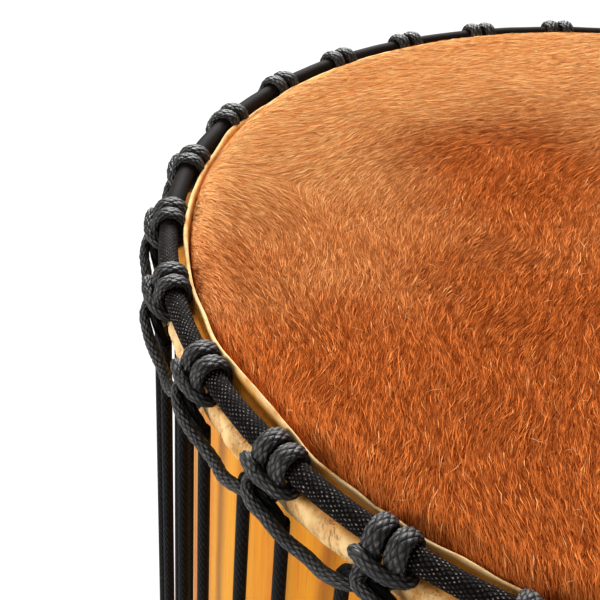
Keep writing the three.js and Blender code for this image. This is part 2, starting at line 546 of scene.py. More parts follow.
def rgba(colour: Colour) -> tuple[float, float, float, float]:
    """Linear colour with alpha from a display colour, by the usual curve of displays.

    Args:
        colour: Red, green and blue of 0 to 255.

    Returns:
        Linear red, green and blue of 0 to 1, and an alpha of 1.
    """
    shares = [value / 255 for value in colour]
    linear = [share / 12.92 if share <= 0.04045 else ((share + 0.055) / 1.055) ** 2.4 for share in shares]
    return (linear[0], linear[1], linear[2], 1.0)


@dataclass(frozen=True)
class Grain:
    """A noise pattern on object coordinates, which the stretch multiplies first."""

    scale: float
    detail: float = 4.0
    rough: float = 0.55
    stretch: Triple = (1.0, 1.0, 1.0)


class Nodes:
    """Short forms for building a material's node tree."""

    def __init__(self, name: str) -> None:
        """Starts a material that holds only its output and one Principled shader.

        Args:
            name: Name of the material.
        """
        self.material = bpy.data.materials.new(name)
        self.material.use_nodes = True
        self.tree = self.material.node_tree
        self.tree.nodes.clear()
        self.output = self.add("ShaderNodeOutputMaterial")
        self.shader = self.add("ShaderNodeBsdfPrincipled")
        self.link(self.shader.outputs["BSDF"], self.output.inputs["Surface"])

    def add(self, kind: str, **settings: object) -> bpy.types.Node:
        """Adds a node and sets its properties.

        Args:
            kind: Blender's name of the node type.
            settings: Properties of the node.

        Returns:
            The node.
        """
        node = self.tree.nodes.new(kind)
        for key, value in settings.items():
            setattr(node, key, value)
        return node

    def link(self, source: Socket, target: Socket) -> None:
        """Joins an output to an input."""
        self.tree.links.new(source, target)

    def feed(self, target: Socket, value: object) -> None:
        """Sets a socket to a number, or links it to an output.

        Args:
            target: The input.
            value: A number, a tuple or an output socket.
        """
        if isinstance(value, Socket):
            self.link(value, target)
        else:
            target.default_value = value

    def places(self, scale: Triple, shift: Triple = (0.0, 0.0, 0.0)) -> Socket:
        """Object coordinates times a scale, which stretches a pattern, plus a shift, which moves it.

        Args:
            scale: Factor along each axis.
            shift: What is added along each axis.

        Returns:
            Output with the new coordinates.
        """
        mapping = self.add("ShaderNodeMapping")
        mapping.inputs["Scale"].default_value = scale
        mapping.inputs["Location"].default_value = shift
        self.link(self.add("ShaderNodeTexCoord").outputs["Object"], mapping.inputs["Vector"])
        return mapping.outputs["Vector"]

    def grain(self, pattern: Grain) -> Socket:
        """Value of a noise pattern.

        Args:
            pattern: The pattern.

        Returns:
            Output of about 0 to 1.
        """
        node = self.add("ShaderNodeTexNoise")
        self.link(self.places(pattern.stretch), node.inputs["Vector"])
        node.inputs["Scale"].default_value = pattern.scale
        node.inputs["Detail"].default_value = pattern.detail
        node.inputs["Roughness"].default_value = pattern.rough
        return node.outputs["Fac"]

    def math(self, operation: str, *values: object) -> Socket:
        """Result of a Math node.

        Args:
            operation: Blender's name of the operation.
            values: What it works on, numbers or outputs.

        Returns:
            Output with the result.
        """
        node = self.add("ShaderNodeMath", operation=operation)
        for socket, value in zip(node.inputs, values):
            self.feed(socket, value)
        return node.outputs["Value"]

    def scaled(self, value: object, factor: object) -> Socket:
        """A value times a factor."""
        return self.math("MULTIPLY", value, factor)

    def between(self, value: object, span: Span) -> Socket:
        """Smooth share of 0 to 1 as a value goes from one end of a span to the other.

        Args:
            value: A number or an output.
            span: Value where the share is 0, and value where it is 1.

        Returns:
            Output with the share.
        """
        node = self.add("ShaderNodeMapRange", interpolation_type="SMOOTHSTEP")
        self.feed(node.inputs["Value"], value)
        node.inputs["From Min"].default_value, node.inputs["From Max"].default_value = span
        return node.outputs["Result"]

    def mix(self, share: object, first: object, second: object) -> Socket:
        """Colour between two colours.

        Args:
            share: How much of the second colour shows.
            first: A display colour or an output.
            second: A display colour or an output.

        Returns:
            Output with the colour.
        """
        node = self.add("ShaderNodeMix", data_type="RGBA")
        # The colour sockets share their names with the node's other ones, so they go by number
        first_colour, second_colour, result_colour = 6, 7, 2
        self.feed(node.inputs["Factor"], share)
        for number, colour in ((first_colour, first), (second_colour, second)):
            self.feed(node.inputs[number], rgba(colour) if isinstance(colour, tuple) else colour)
        return node.outputs[result_colour]

    def parts(self, vector: Socket) -> bpy.types.NodeOutputs:
        """Outputs X, Y and Z of a vector.

        Args:
            vector: The vector.

        Returns:
            The three outputs, by name.
        """
        separate = self.add("ShaderNodeSeparateXYZ")
        self.link(vector, separate.inputs[0])
        return separate.outputs

    def uv(self) -> tuple[Socket, Socket]:
        """The u and v of the UV map."""
        parts = self.parts(self.add("ShaderNodeUVMap", uv_map="UVMap").outputs["UV"])
        return parts["X"], parts["Y"]

    def axis(self, name: str) -> Socket:
        """One of the object coordinates X, Y and Z."""
        return self.parts(self.add("ShaderNodeTexCoord").outputs["Object"])[name]

    def attribute(self, name: str) -> Socket:
        """Value of a vertex attribute."""
        return self.add("ShaderNodeAttribute", attribute_name=name).outputs["Fac"]

    def bump(self, height: Socket, distance: float, strength: float) -> None:
        """Adds a bump to the shader's normal, over any bump that is already there.

        Args:
            height: The height pattern.
            distance: What a height of 1 stands for, in metres.
            strength: Share of the bump that shows.
        """
        node = self.add("ShaderNodeBump")
        node.inputs["Distance"].default_value = distance
        node.inputs["Strength"].default_value = strength
        self.link(height, node.inputs["Height"])
        normal = self.shader.inputs["Normal"]
        if normal.is_linked:
            self.link(normal.links[0].from_socket, node.inputs["Normal"])
        self.link(node.outputs["Normal"], normal)

    def paint(self, colour: Socket, roughness: float, shine: float = 0.5, metal: float = 0.0) -> Material:
        """Sets the shader's colour and constant sockets.

        Args:
            colour: Output that holds the base colour.
            roughness: Roughness of the surface.
            shine: Level of its gloss.
            metal: 1 for bare metal.

        Returns:
            The finished material.
        """
        self.link(colour, self.shader.inputs["Base Color"])
        self.shader.inputs["Roughness"].default_value = roughness
        self.shader.inputs["Specular IOR Level"].default_value = shine
        self.shader.inputs["Metallic"].default_value = metal
        return self.material


@dataclass(frozen=True)
class WoodFinish:
    """Yellow stained hardwood under satin lacquer, with upright grain."""

    light: Colour = (218, 146, 8)
    dark: Colour = (196, 106, 0)
    streak: Colour = (150, 68, 0)
    band: Grain = Grain(60.0, 3.0, stretch=(1.0, 1.0, 0.06))
    band_span: Span = (0.3, 0.7)
    fibre: Grain = Grain(900.0, 5.0, 0.6, (1.0, 1.0, 0.035))
    fibre_span: Span = (0.5, 0.8)
    fibre_share: float = 0.5
    pore: Grain = Grain(2200.0, 2.0, stretch=(1.0, 1.0, 0.05))
    pore_span: Span = (0.62, 0.8)
    pore_share: float = 0.45
    relief: float = 0.12 * MM
    relief_share: float = 0.5
    roughness: float = 0.4
    shine: float = 0.08

    def material(self) -> Material:
        """Long fibres from noise that is stretched along z, with darker pores and bands.

        Returns:
            The material.
        """
        nodes = Nodes("stained_wood")
        fibre = nodes.grain(self.fibre)
        fibres = nodes.scaled(nodes.between(fibre, self.fibre_span), self.fibre_share)
        pores = nodes.scaled(nodes.between(nodes.grain(self.pore), self.pore_span), self.pore_share)
        base = nodes.mix(nodes.between(nodes.grain(self.band), self.band_span), self.light, self.dark)
        grained = nodes.mix(fibres, base, self.streak)
        nodes.bump(fibre, self.relief, self.relief_share)
        return nodes.paint(nodes.mix(pores, grained, self.streak), self.roughness, self.shine)


@dataclass(frozen=True)
class HairFinish:
    """Short brown cow hair, lighter and yellower on one side of the hide, partly painted light and partly
    its own colour.

    The colours of the hair's roots and tips, and of the skin with the matted hair on it, each have a
    pale twin for the light side. The slopes say how fast the pale share grows, for each metre along x
    and y. The dark patch that it leaves out has a radius of 1 / patch_scale and its centre at
    -patch_shift / patch_scale, in metres.
    """

    root: Colour = (112, 40, 10)
    pale_root: Colour = (212, 126, 56)
    tip: Colour = (224, 121, 55)
    pale_tip: Colour = (249, 202, 136)
    stray: Colour = (240, 186, 124)
    ground: Colour = (122, 46, 14)
    pale_ground: Colour = (208, 124, 54)
    matted: Colour = (188, 88, 32)
    pale_matted: Colour = (230, 148, 66)
    wander: Grain = Grain(14.0, 3.0, stretch=(1.0, 1.0, 0.2))
    wander_share: float = 0.5
    slope_x: float = -3.6
    slope_y: float = 2.4
    pale_span: Span = (0.25, 1.15)
    patch_scale: float = 11.0
    patch_shift: Triple = (1.27, -0.17, 0.0)
    patch_depth: float = 0.42
    tone_span: Span = (0.0, 1.0)
    stray_span: Span = (1.2, 1.6)
    streak: Grain = Grain(900.0, 5.0, 0.7, (1.0, 0.3, 1.0))
    streak_span: Span = (0.35, 0.75)
    skin_relief: float = 0.5 * MM
    relief_share: float = 0.6
    hair_roughness: float = 0.5
    skin_roughness: float = 0.75

    def region(self, nodes: Nodes) -> Socket:
        """Share of the pale side, which is partly painted light and partly the hide's own colour.

        It grows along -X and +Y with the two slopes, wanders slowly and leaves out one dark patch.

        Args:
            nodes: The material's nodes.

        Returns:
            Output with the share.
        """
        wander = nodes.scaled(nodes.grain(self.wander), self.wander_share)
        across = nodes.math("MULTIPLY_ADD", nodes.axis("X"), self.slope_x, wander)
        along = nodes.math("MULTIPLY_ADD", nodes.axis("Y"), self.slope_y, across)
        patch = nodes.add("ShaderNodeTexGradient", gradient_type="SPHERICAL")
        scale = (self.patch_scale, self.patch_scale, 0.0)
        nodes.link(nodes.places(scale, self.patch_shift), patch.inputs["Vector"])
        soft_patch = nodes.between(patch.outputs["Fac"], (0.0, 1.0))
        spared = nodes.math("MULTIPLY_ADD", soft_patch, -self.patch_depth, along)
        return nodes.between(spared, self.pale_span)

    def hair(self) -> Material:
        """Each hair's own tone, from root colours to tip colours, shifted by region.

        Returns:
            The material, which reads the attribute tone.
        """
        nodes = Nodes("cow_hair")
        tone = nodes.attribute("tone")
        region = self.region(nodes)
        dark = nodes.mix(region, self.root, self.pale_root)
        light = nodes.mix(region, self.tip, self.pale_tip)
        coat = nodes.mix(nodes.between(tone, self.tone_span), dark, light)
        coloured = nodes.mix(nodes.between(tone, self.stray_span), coat, self.stray)
        return nodes.paint(coloured, self.hair_roughness, 0.0)

    def skin(self) -> Material:
        """Hide under the hair, streaked as matted hair is.

        Returns:
            The material.
        """
        nodes = Nodes("haired_skin")
        region = self.region(nodes)
        streaks = nodes.grain(self.streak)
        base = nodes.mix(region, self.ground, self.pale_ground)
        matted = nodes.mix(region, self.matted, self.pale_matted)
        nodes.bump(streaks, self.skin_relief, self.relief_share)
        coloured = nodes.mix(nodes.between(streaks, self.streak_span), base, matted)
        return nodes.paint(coloured, self.skin_roughness, 0.0)


@dataclass(frozen=True)
class TrimmedHideFinish:
    """Cream flesh side of the hide, lapped round the hoop, with short fuzz, brown stains and painted
    shade.
    """

    cream: Colour = (242, 206, 148)
    tan: Colour = (204, 144, 70)
    brown: Colour = (118, 68, 24)
    # Colour of the painted shade and glow of light through the hide, down the flap and under the ring
    golden: Colour = (220, 142, 46)
    clouds: Grain = Grain(90.0, 5.0, 0.6)
    cloud_span: Span = (0.42, 0.75)
    cloud_share: float = 0.5
    cloud_relief: float = 0.6 * MM
    specks: Grain = Grain(700.0, 4.0, 0.75)
    speck_span: Span = (0.5, 0.75)
    speck_share: float = 0.35
    speck_relief: float = 0.15 * MM
    relief_share: float = 0.5
    stain_and_shade_span: Span = (0.8, 1.5)
    roughness: float = 0.85
    shine: float = 0.05

    def material(self) -> Material:
        """Cream with tan clouds, brown by stains and an attribute's painted shade, golden by the
        attribute flap's painted shade and glow, and felted.

        Returns:
            The material.
        """
        nodes = Nodes("trimmed_hide")
        clouds = nodes.grain(self.clouds)
        specks = nodes.grain(self.specks)
        shade = nodes.math("ADD", nodes.attribute("shade"), nodes.scaled(clouds, self.cloud_share))
        stain_and_shade = nodes.math("ADD", shade, nodes.scaled(specks, self.speck_share))
        base = nodes.mix(nodes.between(clouds, self.cloud_span), self.cream, self.tan)
        # Gold is painted shade and glow of light through the hide, from the attribute flap
        golden_shade_and_glow = nodes.mix(nodes.attribute("flap"), base, self.golden)
        tan_specks = nodes.scaled(nodes.between(specks, self.speck_span), self.speck_share)
        speckled = nodes.mix(tan_specks, golden_shade_and_glow, self.tan)
        # Brown is real stains from the clouds and specks plus painted shade from the vertex attribute
        stained = nodes.mix(nodes.between(stain_and_shade, self.stain_and_shade_span), speckled, self.brown)
        nodes.bump(clouds, self.cloud_relief, self.relief_share)
        nodes.bump(specks, self.speck_relief, self.relief_share)
        return nodes.paint(stained, self.roughness, self.shine)


@dataclass(frozen=True)
class RopeFinish:
    """Braided black rope with painted shade in its creases, and grey on the high yarns from scuffs and
    painted highlights.
    """

    name: str
    crease: Colour
    yarn: Colour
    worn: Colour
    roughness: float = 0.5
    shine: float = 0.3
    yarn_span: Span = (0.15, 0.75)
    back_span: Span = (0.55, 1.0)
    scuff: Grain = Grain(190.0, 4.0, 0.7)
    scuff_span: Span = (0.42, 0.72)
    fibre: Grain = Grain(1300.0, 3.0, 0.7)
    fibre_span: Span = (0.3, 0.62)
    lobe_relief: float = 0.45 * MM
    lobe_relief_share: float = 0.8
    fibre_relief: float = 0.22 * MM
    fibre_relief_share: float = 0.7

    def lobes(self, nodes: Nodes) -> Socket:
        """Height of the braid from the UV map, by the formula of RopeSkin.braid.

        Args:
            nodes: The material's nodes.

        Returns:
            Output of 0 to 1.
        """
        along, around = nodes.uv()
        rising = nodes.math("COSINE", nodes.scaled(nodes.math("ADD", around, along), math.pi))
        falling = nodes.math("COSINE", nodes.scaled(nodes.math("SUBTRACT", around, along), math.pi))
        same_sign = nodes.math("GREATER_THAN", nodes.scaled(rising, falling), 0.0)
        first, second = nodes.math("ABSOLUTE", rising), nodes.math("ABSOLUTE", falling)
        one_way = nodes.scaled(first, nodes.math("POWER", second, TUCK))
        other_way = nodes.scaled(second, nodes.math("POWER", first, TUCK))
        difference = nodes.scaled(nodes.math("SUBTRACT", one_way, other_way), same_sign)
        return nodes.math("ADD", other_way, difference)

    def material(self) -> Material:
        """Creases between the yarns are painted black as shade, their backs dark grey, and scuffed
        patches paler with painted highlight.

        Returns:
            The material.
        """
        nodes = Nodes(self.name)
        lobe = self.lobes(nodes)
        fibre = nodes.grain(self.fibre)
        # Low parts of the braid are painted near black as shade in its creases
        body = nodes.mix(nodes.between(lobe, self.yarn_span), self.crease, self.yarn)
        scuffed = nodes.between(nodes.grain(self.scuff), self.scuff_span)
        # The pale scuffed backs of the high yarns are real wear with a painted highlight
        lit_worn_backs = nodes.scaled(nodes.between(lobe, self.back_span), scuffed)
        lit_worn_fibres = nodes.scaled(lit_worn_backs, nodes.between(fibre, self.fibre_span))
        nodes.bump(lobe, self.lobe_relief, self.lobe_relief_share)
        nodes.bump(fibre, self.fibre_relief, self.fibre_relief_share)
        return nodes.paint(nodes.mix(lit_worn_fibres, body, self.worn), self.roughness, self.shine)


@dataclass(frozen=True)
class SleeveFinish:
    """Tight diamond braid on the crown ring, with small painted glints of light on its yarns.

    The braid and its painted glints show on the drum's near side, and near_span gives the y where they
    have faded out and the y where they are whole. On the far side a plain dark mottle stands in for its
    sheen.
    """

    # dark is painted shade in the low parts between the yarns
    dark: Colour = (6, 5, 5)
    yarn: Colour = (34, 28, 25)
    glint: Colour = (158, 150, 142)
    worn_dark: Colour = (15, 12, 11)
    worn_light: Colour = (38, 33, 30)
    cells_along: float = 580.0
    cells_across: float = 16.0
    astray: Grain = Grain(330.0, 1.0)
    astray_turn: float = 2.2
    patches: Grain = Grain(420.0, 3.0, 0.6)
    patch_span: Span = (0.42, 0.66)
    felt: Grain = Grain(700.0, 3.0, 0.6)
    near_span: Span = (-0.09, -0.17)
    yarn_span: Span = (0.1, 0.9)
    glint_span: Span = (0.82, 0.97)
    relief: float = 0.25 * MM
    relief_share: float = 0.8
    worn_relief: float = 0.3
    roughness: float = 0.65
    shine: float = 0.03

    def diamonds(self, nodes: Nodes) -> Socket:
        """Height of the diamonds where two families of slanting waves meet, on the ring's UV map.

        Args:
            nodes: The material's nodes.

        Returns:
            Output of 0 to 1.
        """
        u, v = nodes.uv()
        noise = nodes.grain(self.astray)
        astray = nodes.math("MULTIPLY_ADD", noise, self.astray_turn, -0.5 * self.astray_turn)
        along = nodes.math("MULTIPLY_ADD", u, self.cells_along * math.pi, astray)
        across = nodes.scaled(v, self.cells_across * math.pi)
        rising = nodes.math("ABSOLUTE", nodes.math("SINE", nodes.math("ADD", along, across)))
        falling = nodes.math("ABSOLUTE", nodes.math("SINE", nodes.math("SUBTRACT", along, across)))
        return nodes.scaled(rising, falling)

    def material(self) -> Material:
        """Dark yarns with painted glints on the highest ones, in patches, on the near side only.

        Returns:
            The material.
        """
        nodes = Nodes("ring_sleeve")
        diamond = self.diamonds(nodes)
        near = nodes.between(nodes.axis("Y"), self.near_span)
        patches = nodes.between(nodes.grain(self.patches), self.patch_span)
        # Glints are painted highlights, shown only on the near side
        glints = nodes.scaled(nodes.between(diamond, self.glint_span), patches)
        base = nodes.mix(nodes.between(diamond, self.yarn_span), self.dark, self.yarn)
        # The far side gets a plain dark mottle, standing in for the smooth sheen seen there
        worn = nodes.mix(nodes.grain(self.felt), self.worn_dark, self.worn_light)
        ground = nodes.mix(near, worn, base)
        height = nodes.scaled(diamond, nodes.math("ADD", near, self.worn_relief))
        nodes.bump(height, self.relief, self.relief_share)
        coloured = nodes.mix(nodes.scaled(glints, near), ground, self.glint)
        return nodes.paint(coloured, self.roughness, self.shine)


@dataclass(frozen=True)
class SteelFinish:
    """Bare round rod, grey with darker patches and a fine grain."""

    light: Colour = (150, 152, 156)
    dark: Colour = (84, 80, 78)
    patches: Grain = Grain(120.0, 5.0, 0.65)
    relief: float = 0.1 * MM
    relief_share: float = 0.4
    roughness: float = 0.42

    def material(self) -> Material:
        """Metal between the dark and the light colour, by the patches.

        Returns:
            The material.
        """
        nodes = Nodes("bare_rod")
        patches = nodes.grain(self.patches)
        nodes.bump(patches, self.relief, self.relief_share)
        return nodes.paint(nodes.mix(patches, self.dark, self.light), self.roughness, metal=1.0)


# Colours are painted crease shade, yarn, and scuffing with painted highlights
CRADLE_FINISH = RopeFinish("cradle_rope", (4, 4, 4), (38, 35, 34), (126, 121, 115))
PULL_FINISH = RopeFinish("pull_rope", (1, 1, 1), (9, 8, 8), (36, 33, 32), roughness=0.6, shine=0.08)


@dataclass
class Finishes:
    """The materials that the pieces share."""

    wood: Material = field(default_factory=WoodFinish().material)
    hair: Material = field(default_factory=HairFinish().hair)
    skin: Material = field(default_factory=HairFinish().skin)
    trimmed: Material = field(default_factory=TrimmedHideFinish().material)
    sleeve: Material = field(default_factory=SleeveFinish().material)
    steel: Material = field(default_factory=SteelFinish().material)
    cradle: Material = field(default_factory=CRADLE_FINISH.material)
    pull: Material = field(default_factory=PULL_FINISH.material)


@dataclass
class Shell:
    """The turned wooden shell with its rounded bearing edges."""

    sizes: DrumSizes
    segments: int = 240
    wall_steps: int = 24
    edge_steps: int = 8
    bevel: float = 9.0 * MM
    flat: float = 3.0 * MM
    eased_in: float = 0.6 * MM
    eased_up: float = 0.8 * MM

    def section(self) -> Array:
        """Closed section: up the outside, over the edge, down the inside and over the lower edge.

        Returns:
            Points of (radius, z).
        """
        size = self.sizes
        round_radius = size.shell_radius - size.edge_round
        inner = size.shell_radius - size.wall
        top = size.height - size.hide - size.gap
        upper = np.concatenate(
            [
                arc((round_radius, top - size.edge_round), size.edge_round, 0.0, 90.0, self.edge_steps),
                [[round_radius - self.flat, top]],
                [[inner + self.eased_in, top - self.bevel + self.eased_up]],
                [[inner, top - self.bevel]],
            ]
        )
        lower = upper[::-1] * [1.0, -1.0] + [0.0, size.height]
        share = np.linspace(0.0, 1.0, self.wall_steps + 2)[1:-1, None]
        inside = upper[-1] * (1.0 - share) + lower[0] * share
        outside = lower[-1] * (1.0 - share) + upper[0] * share
        return np.concatenate([upper, inside, lower, outside])

    def build(self, finishes: Finishes) -> None:
        """Turns the section round the axis.

        Args:
            finishes: The shared materials.
        """
        points = revolve_profile(self.section(), full_turn(self.segments))
        mesh = grid_mesh("shell_wood", points, True, True)
        seat(mesh, finishes.wood, "shell")


@dataclass
class Head:
    """One hide: its haired face and collar, the lap round the flesh hoop and the trimmed flap.

    The fades of painted shade and gold start from the flap's foot or, for the fade that clears the flap's
    lit edge and for flap_gold, from its edge.
    """

    sizes: DrumSizes
    end: End
    segments: int
    seed: int = 3
    face_segments: int = 300
    face_rings: int = 26
    edge_rings: int = 10
    collar_rings: int = 4
    roll_steps: int = 30
    hollow_steps: int = 24
    flap_steps: int = 8
    middle_radius: float = 4.0 * MM
    collar_top: float = 14.0 * MM
    collar_foot: float = 19.0 * MM
    roll_end_degrees: float = 62.0
    hollow_start_degrees: float = 120.0
    seam_rise: float = 4.0 * MM
    flap_foot: float = 1.0 * MM
    flap_round: float = 0.5 * MM
    lump: float = 0.35 * MM
    lump_length: float = 12.0 * MM
    lean: float = 0.9 * MM
    wobble: float = 0.7 * MM
    wobble_length: float = 60.0 * MM
    wave: float = 0.5 * MM
    wave_length: float = 38.0 * MM
    # Painted shade: brown under the crown ring, kept off the flap's lit edge, and on the roll's underside
    under_ring_shade: Fade = Fade(-3.5 * MM, 3.0 * MM, 0.65)
    shade_below_edge: Fade = Fade(-0.8 * MM, -3.0 * MM)
    low_roll_shade: Fade = Fade(0.0, -4.0 * MM, 0.9)
    low_roll_shade_radii: float = 1.35
    lump_stain: float = 0.1
    # Painted gold: shade down the flap's face and under the ring, tinted as light glowing through the
    # hide
    flap_gold: Fade = Fade(-0.1 * MM, -2.4 * MM)
    roll_gold: Fade = Fade(-2.9 * MM, 2.2 * MM, 0.8)

    def face_section(self) -> Array:
        """Haired side from the middle over the bearing edge and down to just inside the flap.

        Returns:
            Points of (radius, z).
        """
        size = self.sizes
        round_radius = size.shell_radius - size.edge_round
        outer = size.edge_round + size.hide + size.gap
        rings = np.linspace(self.middle_radius, round_radius, self.face_rings)
        flat = np.stack([rings, np.full(self.face_rings, size.height)], axis=1)
        edge = arc((round_radius, size.height - outer), outer, 90.0, 0.0, self.edge_rings)[1:]
        drops = np.linspace(self.collar_top, self.collar_foot, self.collar_rings)
        collar = np.stack([np.full(self.collar_rings, size.collar_radius), size.height - drops], axis=1)
        return np.concatenate([flat, edge, collar])

    def lap_section(self) -> Array:
        """Flesh side: closed sheet up from the collar's foot, round the hoop and up as the flap.

        Returns:
            Points of (radius, z).
        """
        size = self.sizes
        hoop_z = size.height - size.hoop_drop
        top = size.height - size.flap_drop
        inner = size.shell_radius + size.gap
        seam_z = hoop_z + self.seam_rise
        centre = (size.hoop_radius, hoop_z)
        hollow_radius = size.roll_radius - size.hide
        flap_outer = size.flap_radius + 0.5 * size.hide
        flap_inner = size.flap_radius - 0.5 * size.hide
        foot_z = hoop_z + size.roll_radius + self.flap_foot
        flap_z = np.linspace(foot_z, top - self.flap_round, self.flap_steps)
        return np.concatenate(
            [
                [[inner, seam_z]],
                arc(centre, size.roll_radius, -180.0, self.roll_end_degrees, self.roll_steps),
                np.stack([np.full(self.flap_steps, flap_outer), flap_z], axis=1),
                [[flap_outer - self.flap_round, top], [flap_inner + self.flap_round, top]],
                np.stack([np.full(self.flap_steps, flap_inner), flap_z[::-1]], axis=1),
                arc(centre, hollow_radius, self.hollow_start_degrees, -180.0, self.hollow_steps),
                [[inner + size.hide, seam_z]],
            ]
        )

    def rough_lap(self, points: Array) -> tuple[Array, Array, Array]:
        """Makes the lap lumpy, the flap's edge wavy and the flap lean out unevenly.

        The rise is 0 up to the flap's foot and 1 at its edge. The roll is shoved away from the hoop by
        lump times a noise, fading with the rise. The flap leans out by rise squared times its lean, and
        goes up by rise squared times the cut plus rise cubed times a wave.

        Args:
            points: Even points of the lap, upper end.

        Returns:
            The rough points, the brown share, mostly painted shade, and the golden share, painted shade
            and glow.
        """
        size = self.sizes
        seed = self.seed + self.end.number
        z = points[..., 2]
        hoop_z = size.height - size.hoop_drop
        foot = hoop_z + size.roll_radius
        top = size.height - size.flap_drop
        rise = np.clip((z - foot) / (top - foot), 0.0, 1.0)
        level = points * [1.0, 1.0, 0.0]
        wave = self.wave * smooth_noise(level, self.wave_length, seed, octaves=3)
        wobble = self.wobble * smooth_noise(level, self.wobble_length, seed + 10, octaves=2)
        lumps = smooth_noise(points, self.lump_length, seed + 20, octaves=4)
        radius = np.hypot(points[..., 0], points[..., 1])
        away = np.stack([radius - size.hoop_radius, z - hoop_z], axis=-1)
        away /= np.linalg.norm(away, axis=-1, keepdims=True) + TINY
        shove = self.lump * lumps * (1.0 - rise)
        cut = np.zeros_like(rise)
        lean = self.lean + wobble
        if self.end is End.TOP:
            drop, further = size.trim(np.arctan2(points[..., 1], points[..., 0]))
            cut, lean = size.flap_drop - drop, lean + further
        outward = points[..., :2] / radius[..., None]
        rough = points.copy()
        rough[..., :2] += outward * (shove * away[..., 0] + rise**2 * lean)[..., None]
        rough[..., 2] += shove * away[..., 1] + rise**2 * cut + rise**3 * wave
        # Painted shade under the crown ring, clear of the flap's lit edge, and on the roll's underside
        under_ring_shade = self.under_ring_shade.at(z, foot) * self.shade_below_edge.at(z, top)
        low_roll_shade = self.low_roll_shade.at(z, foot - self.low_roll_shade_radii * size.roll_radius)
        # Painted gold: shade and glow down the flap's face and on the roll under the ring
        gold = np.where(rise > 0.0, self.flap_gold.at(z, top), self.roll_gold.at(z, foot))
        return rough, under_ring_shade + low_roll_shade + self.lump_stain * lumps, gold

    def closed_face(self, name: str, points: Array, lower: bool) -> Mesh:
        """Skins the face's grid and closes its middle with one round polygon.

        Args:
            name: Name of the mesh.
            points: Grid, angles by rings.
            lower: Whether the faces are turned over.

        Returns:
            The mesh.
        """
        rows, columns = points.shape[:2]
        row, column = np.meshgrid(np.arange(rows), np.arange(columns - 1), indexing="ij")
        here = row * columns + column
        after = (row + 1) % rows * columns + column
        quads = np.stack([here, here + 1, after + 1, after], axis=-1).reshape(-1, 4)
        middle = np.arange(rows) * columns
        if lower:
            quads = quads[:, ::-1]
            middle = middle[::-1]
        corners = np.concatenate([quads.ravel(), middle])
        sizes = np.concatenate([np.full(len(quads), 4), [rows]])
        return fill_mesh(name, points.reshape(-1, 3), corners, sizes)

    def build(self, finishes: Finishes) -> None:
        """Builds the haired face and the trimmed lap as two skins of one hide.

        Args:
            finishes: The shared materials.
        """
        lower = self.end is End.BOTTOM
        label = self.end.label
        face = revolve_profile(self.face_section(), full_turn(self.face_segments))
        mesh = self.closed_face(f"{label}_hide_face", self.sizes.placed(face, self.end), lower)
        seat(mesh, finishes.skin, f"{label}_head")
        lap, shade, flap = self.rough_lap(revolve_profile(self.lap_section(), full_turn(self.segments)))
        mesh = grid_mesh(f"{label}_hide_lap", self.sizes.placed(lap, self.end), True, True, flip=lower)
        set_attribute(mesh, "shade", shade)
        set_attribute(mesh, "flap", flap)
        seat(mesh, finishes.trimmed, f"{label}_head")


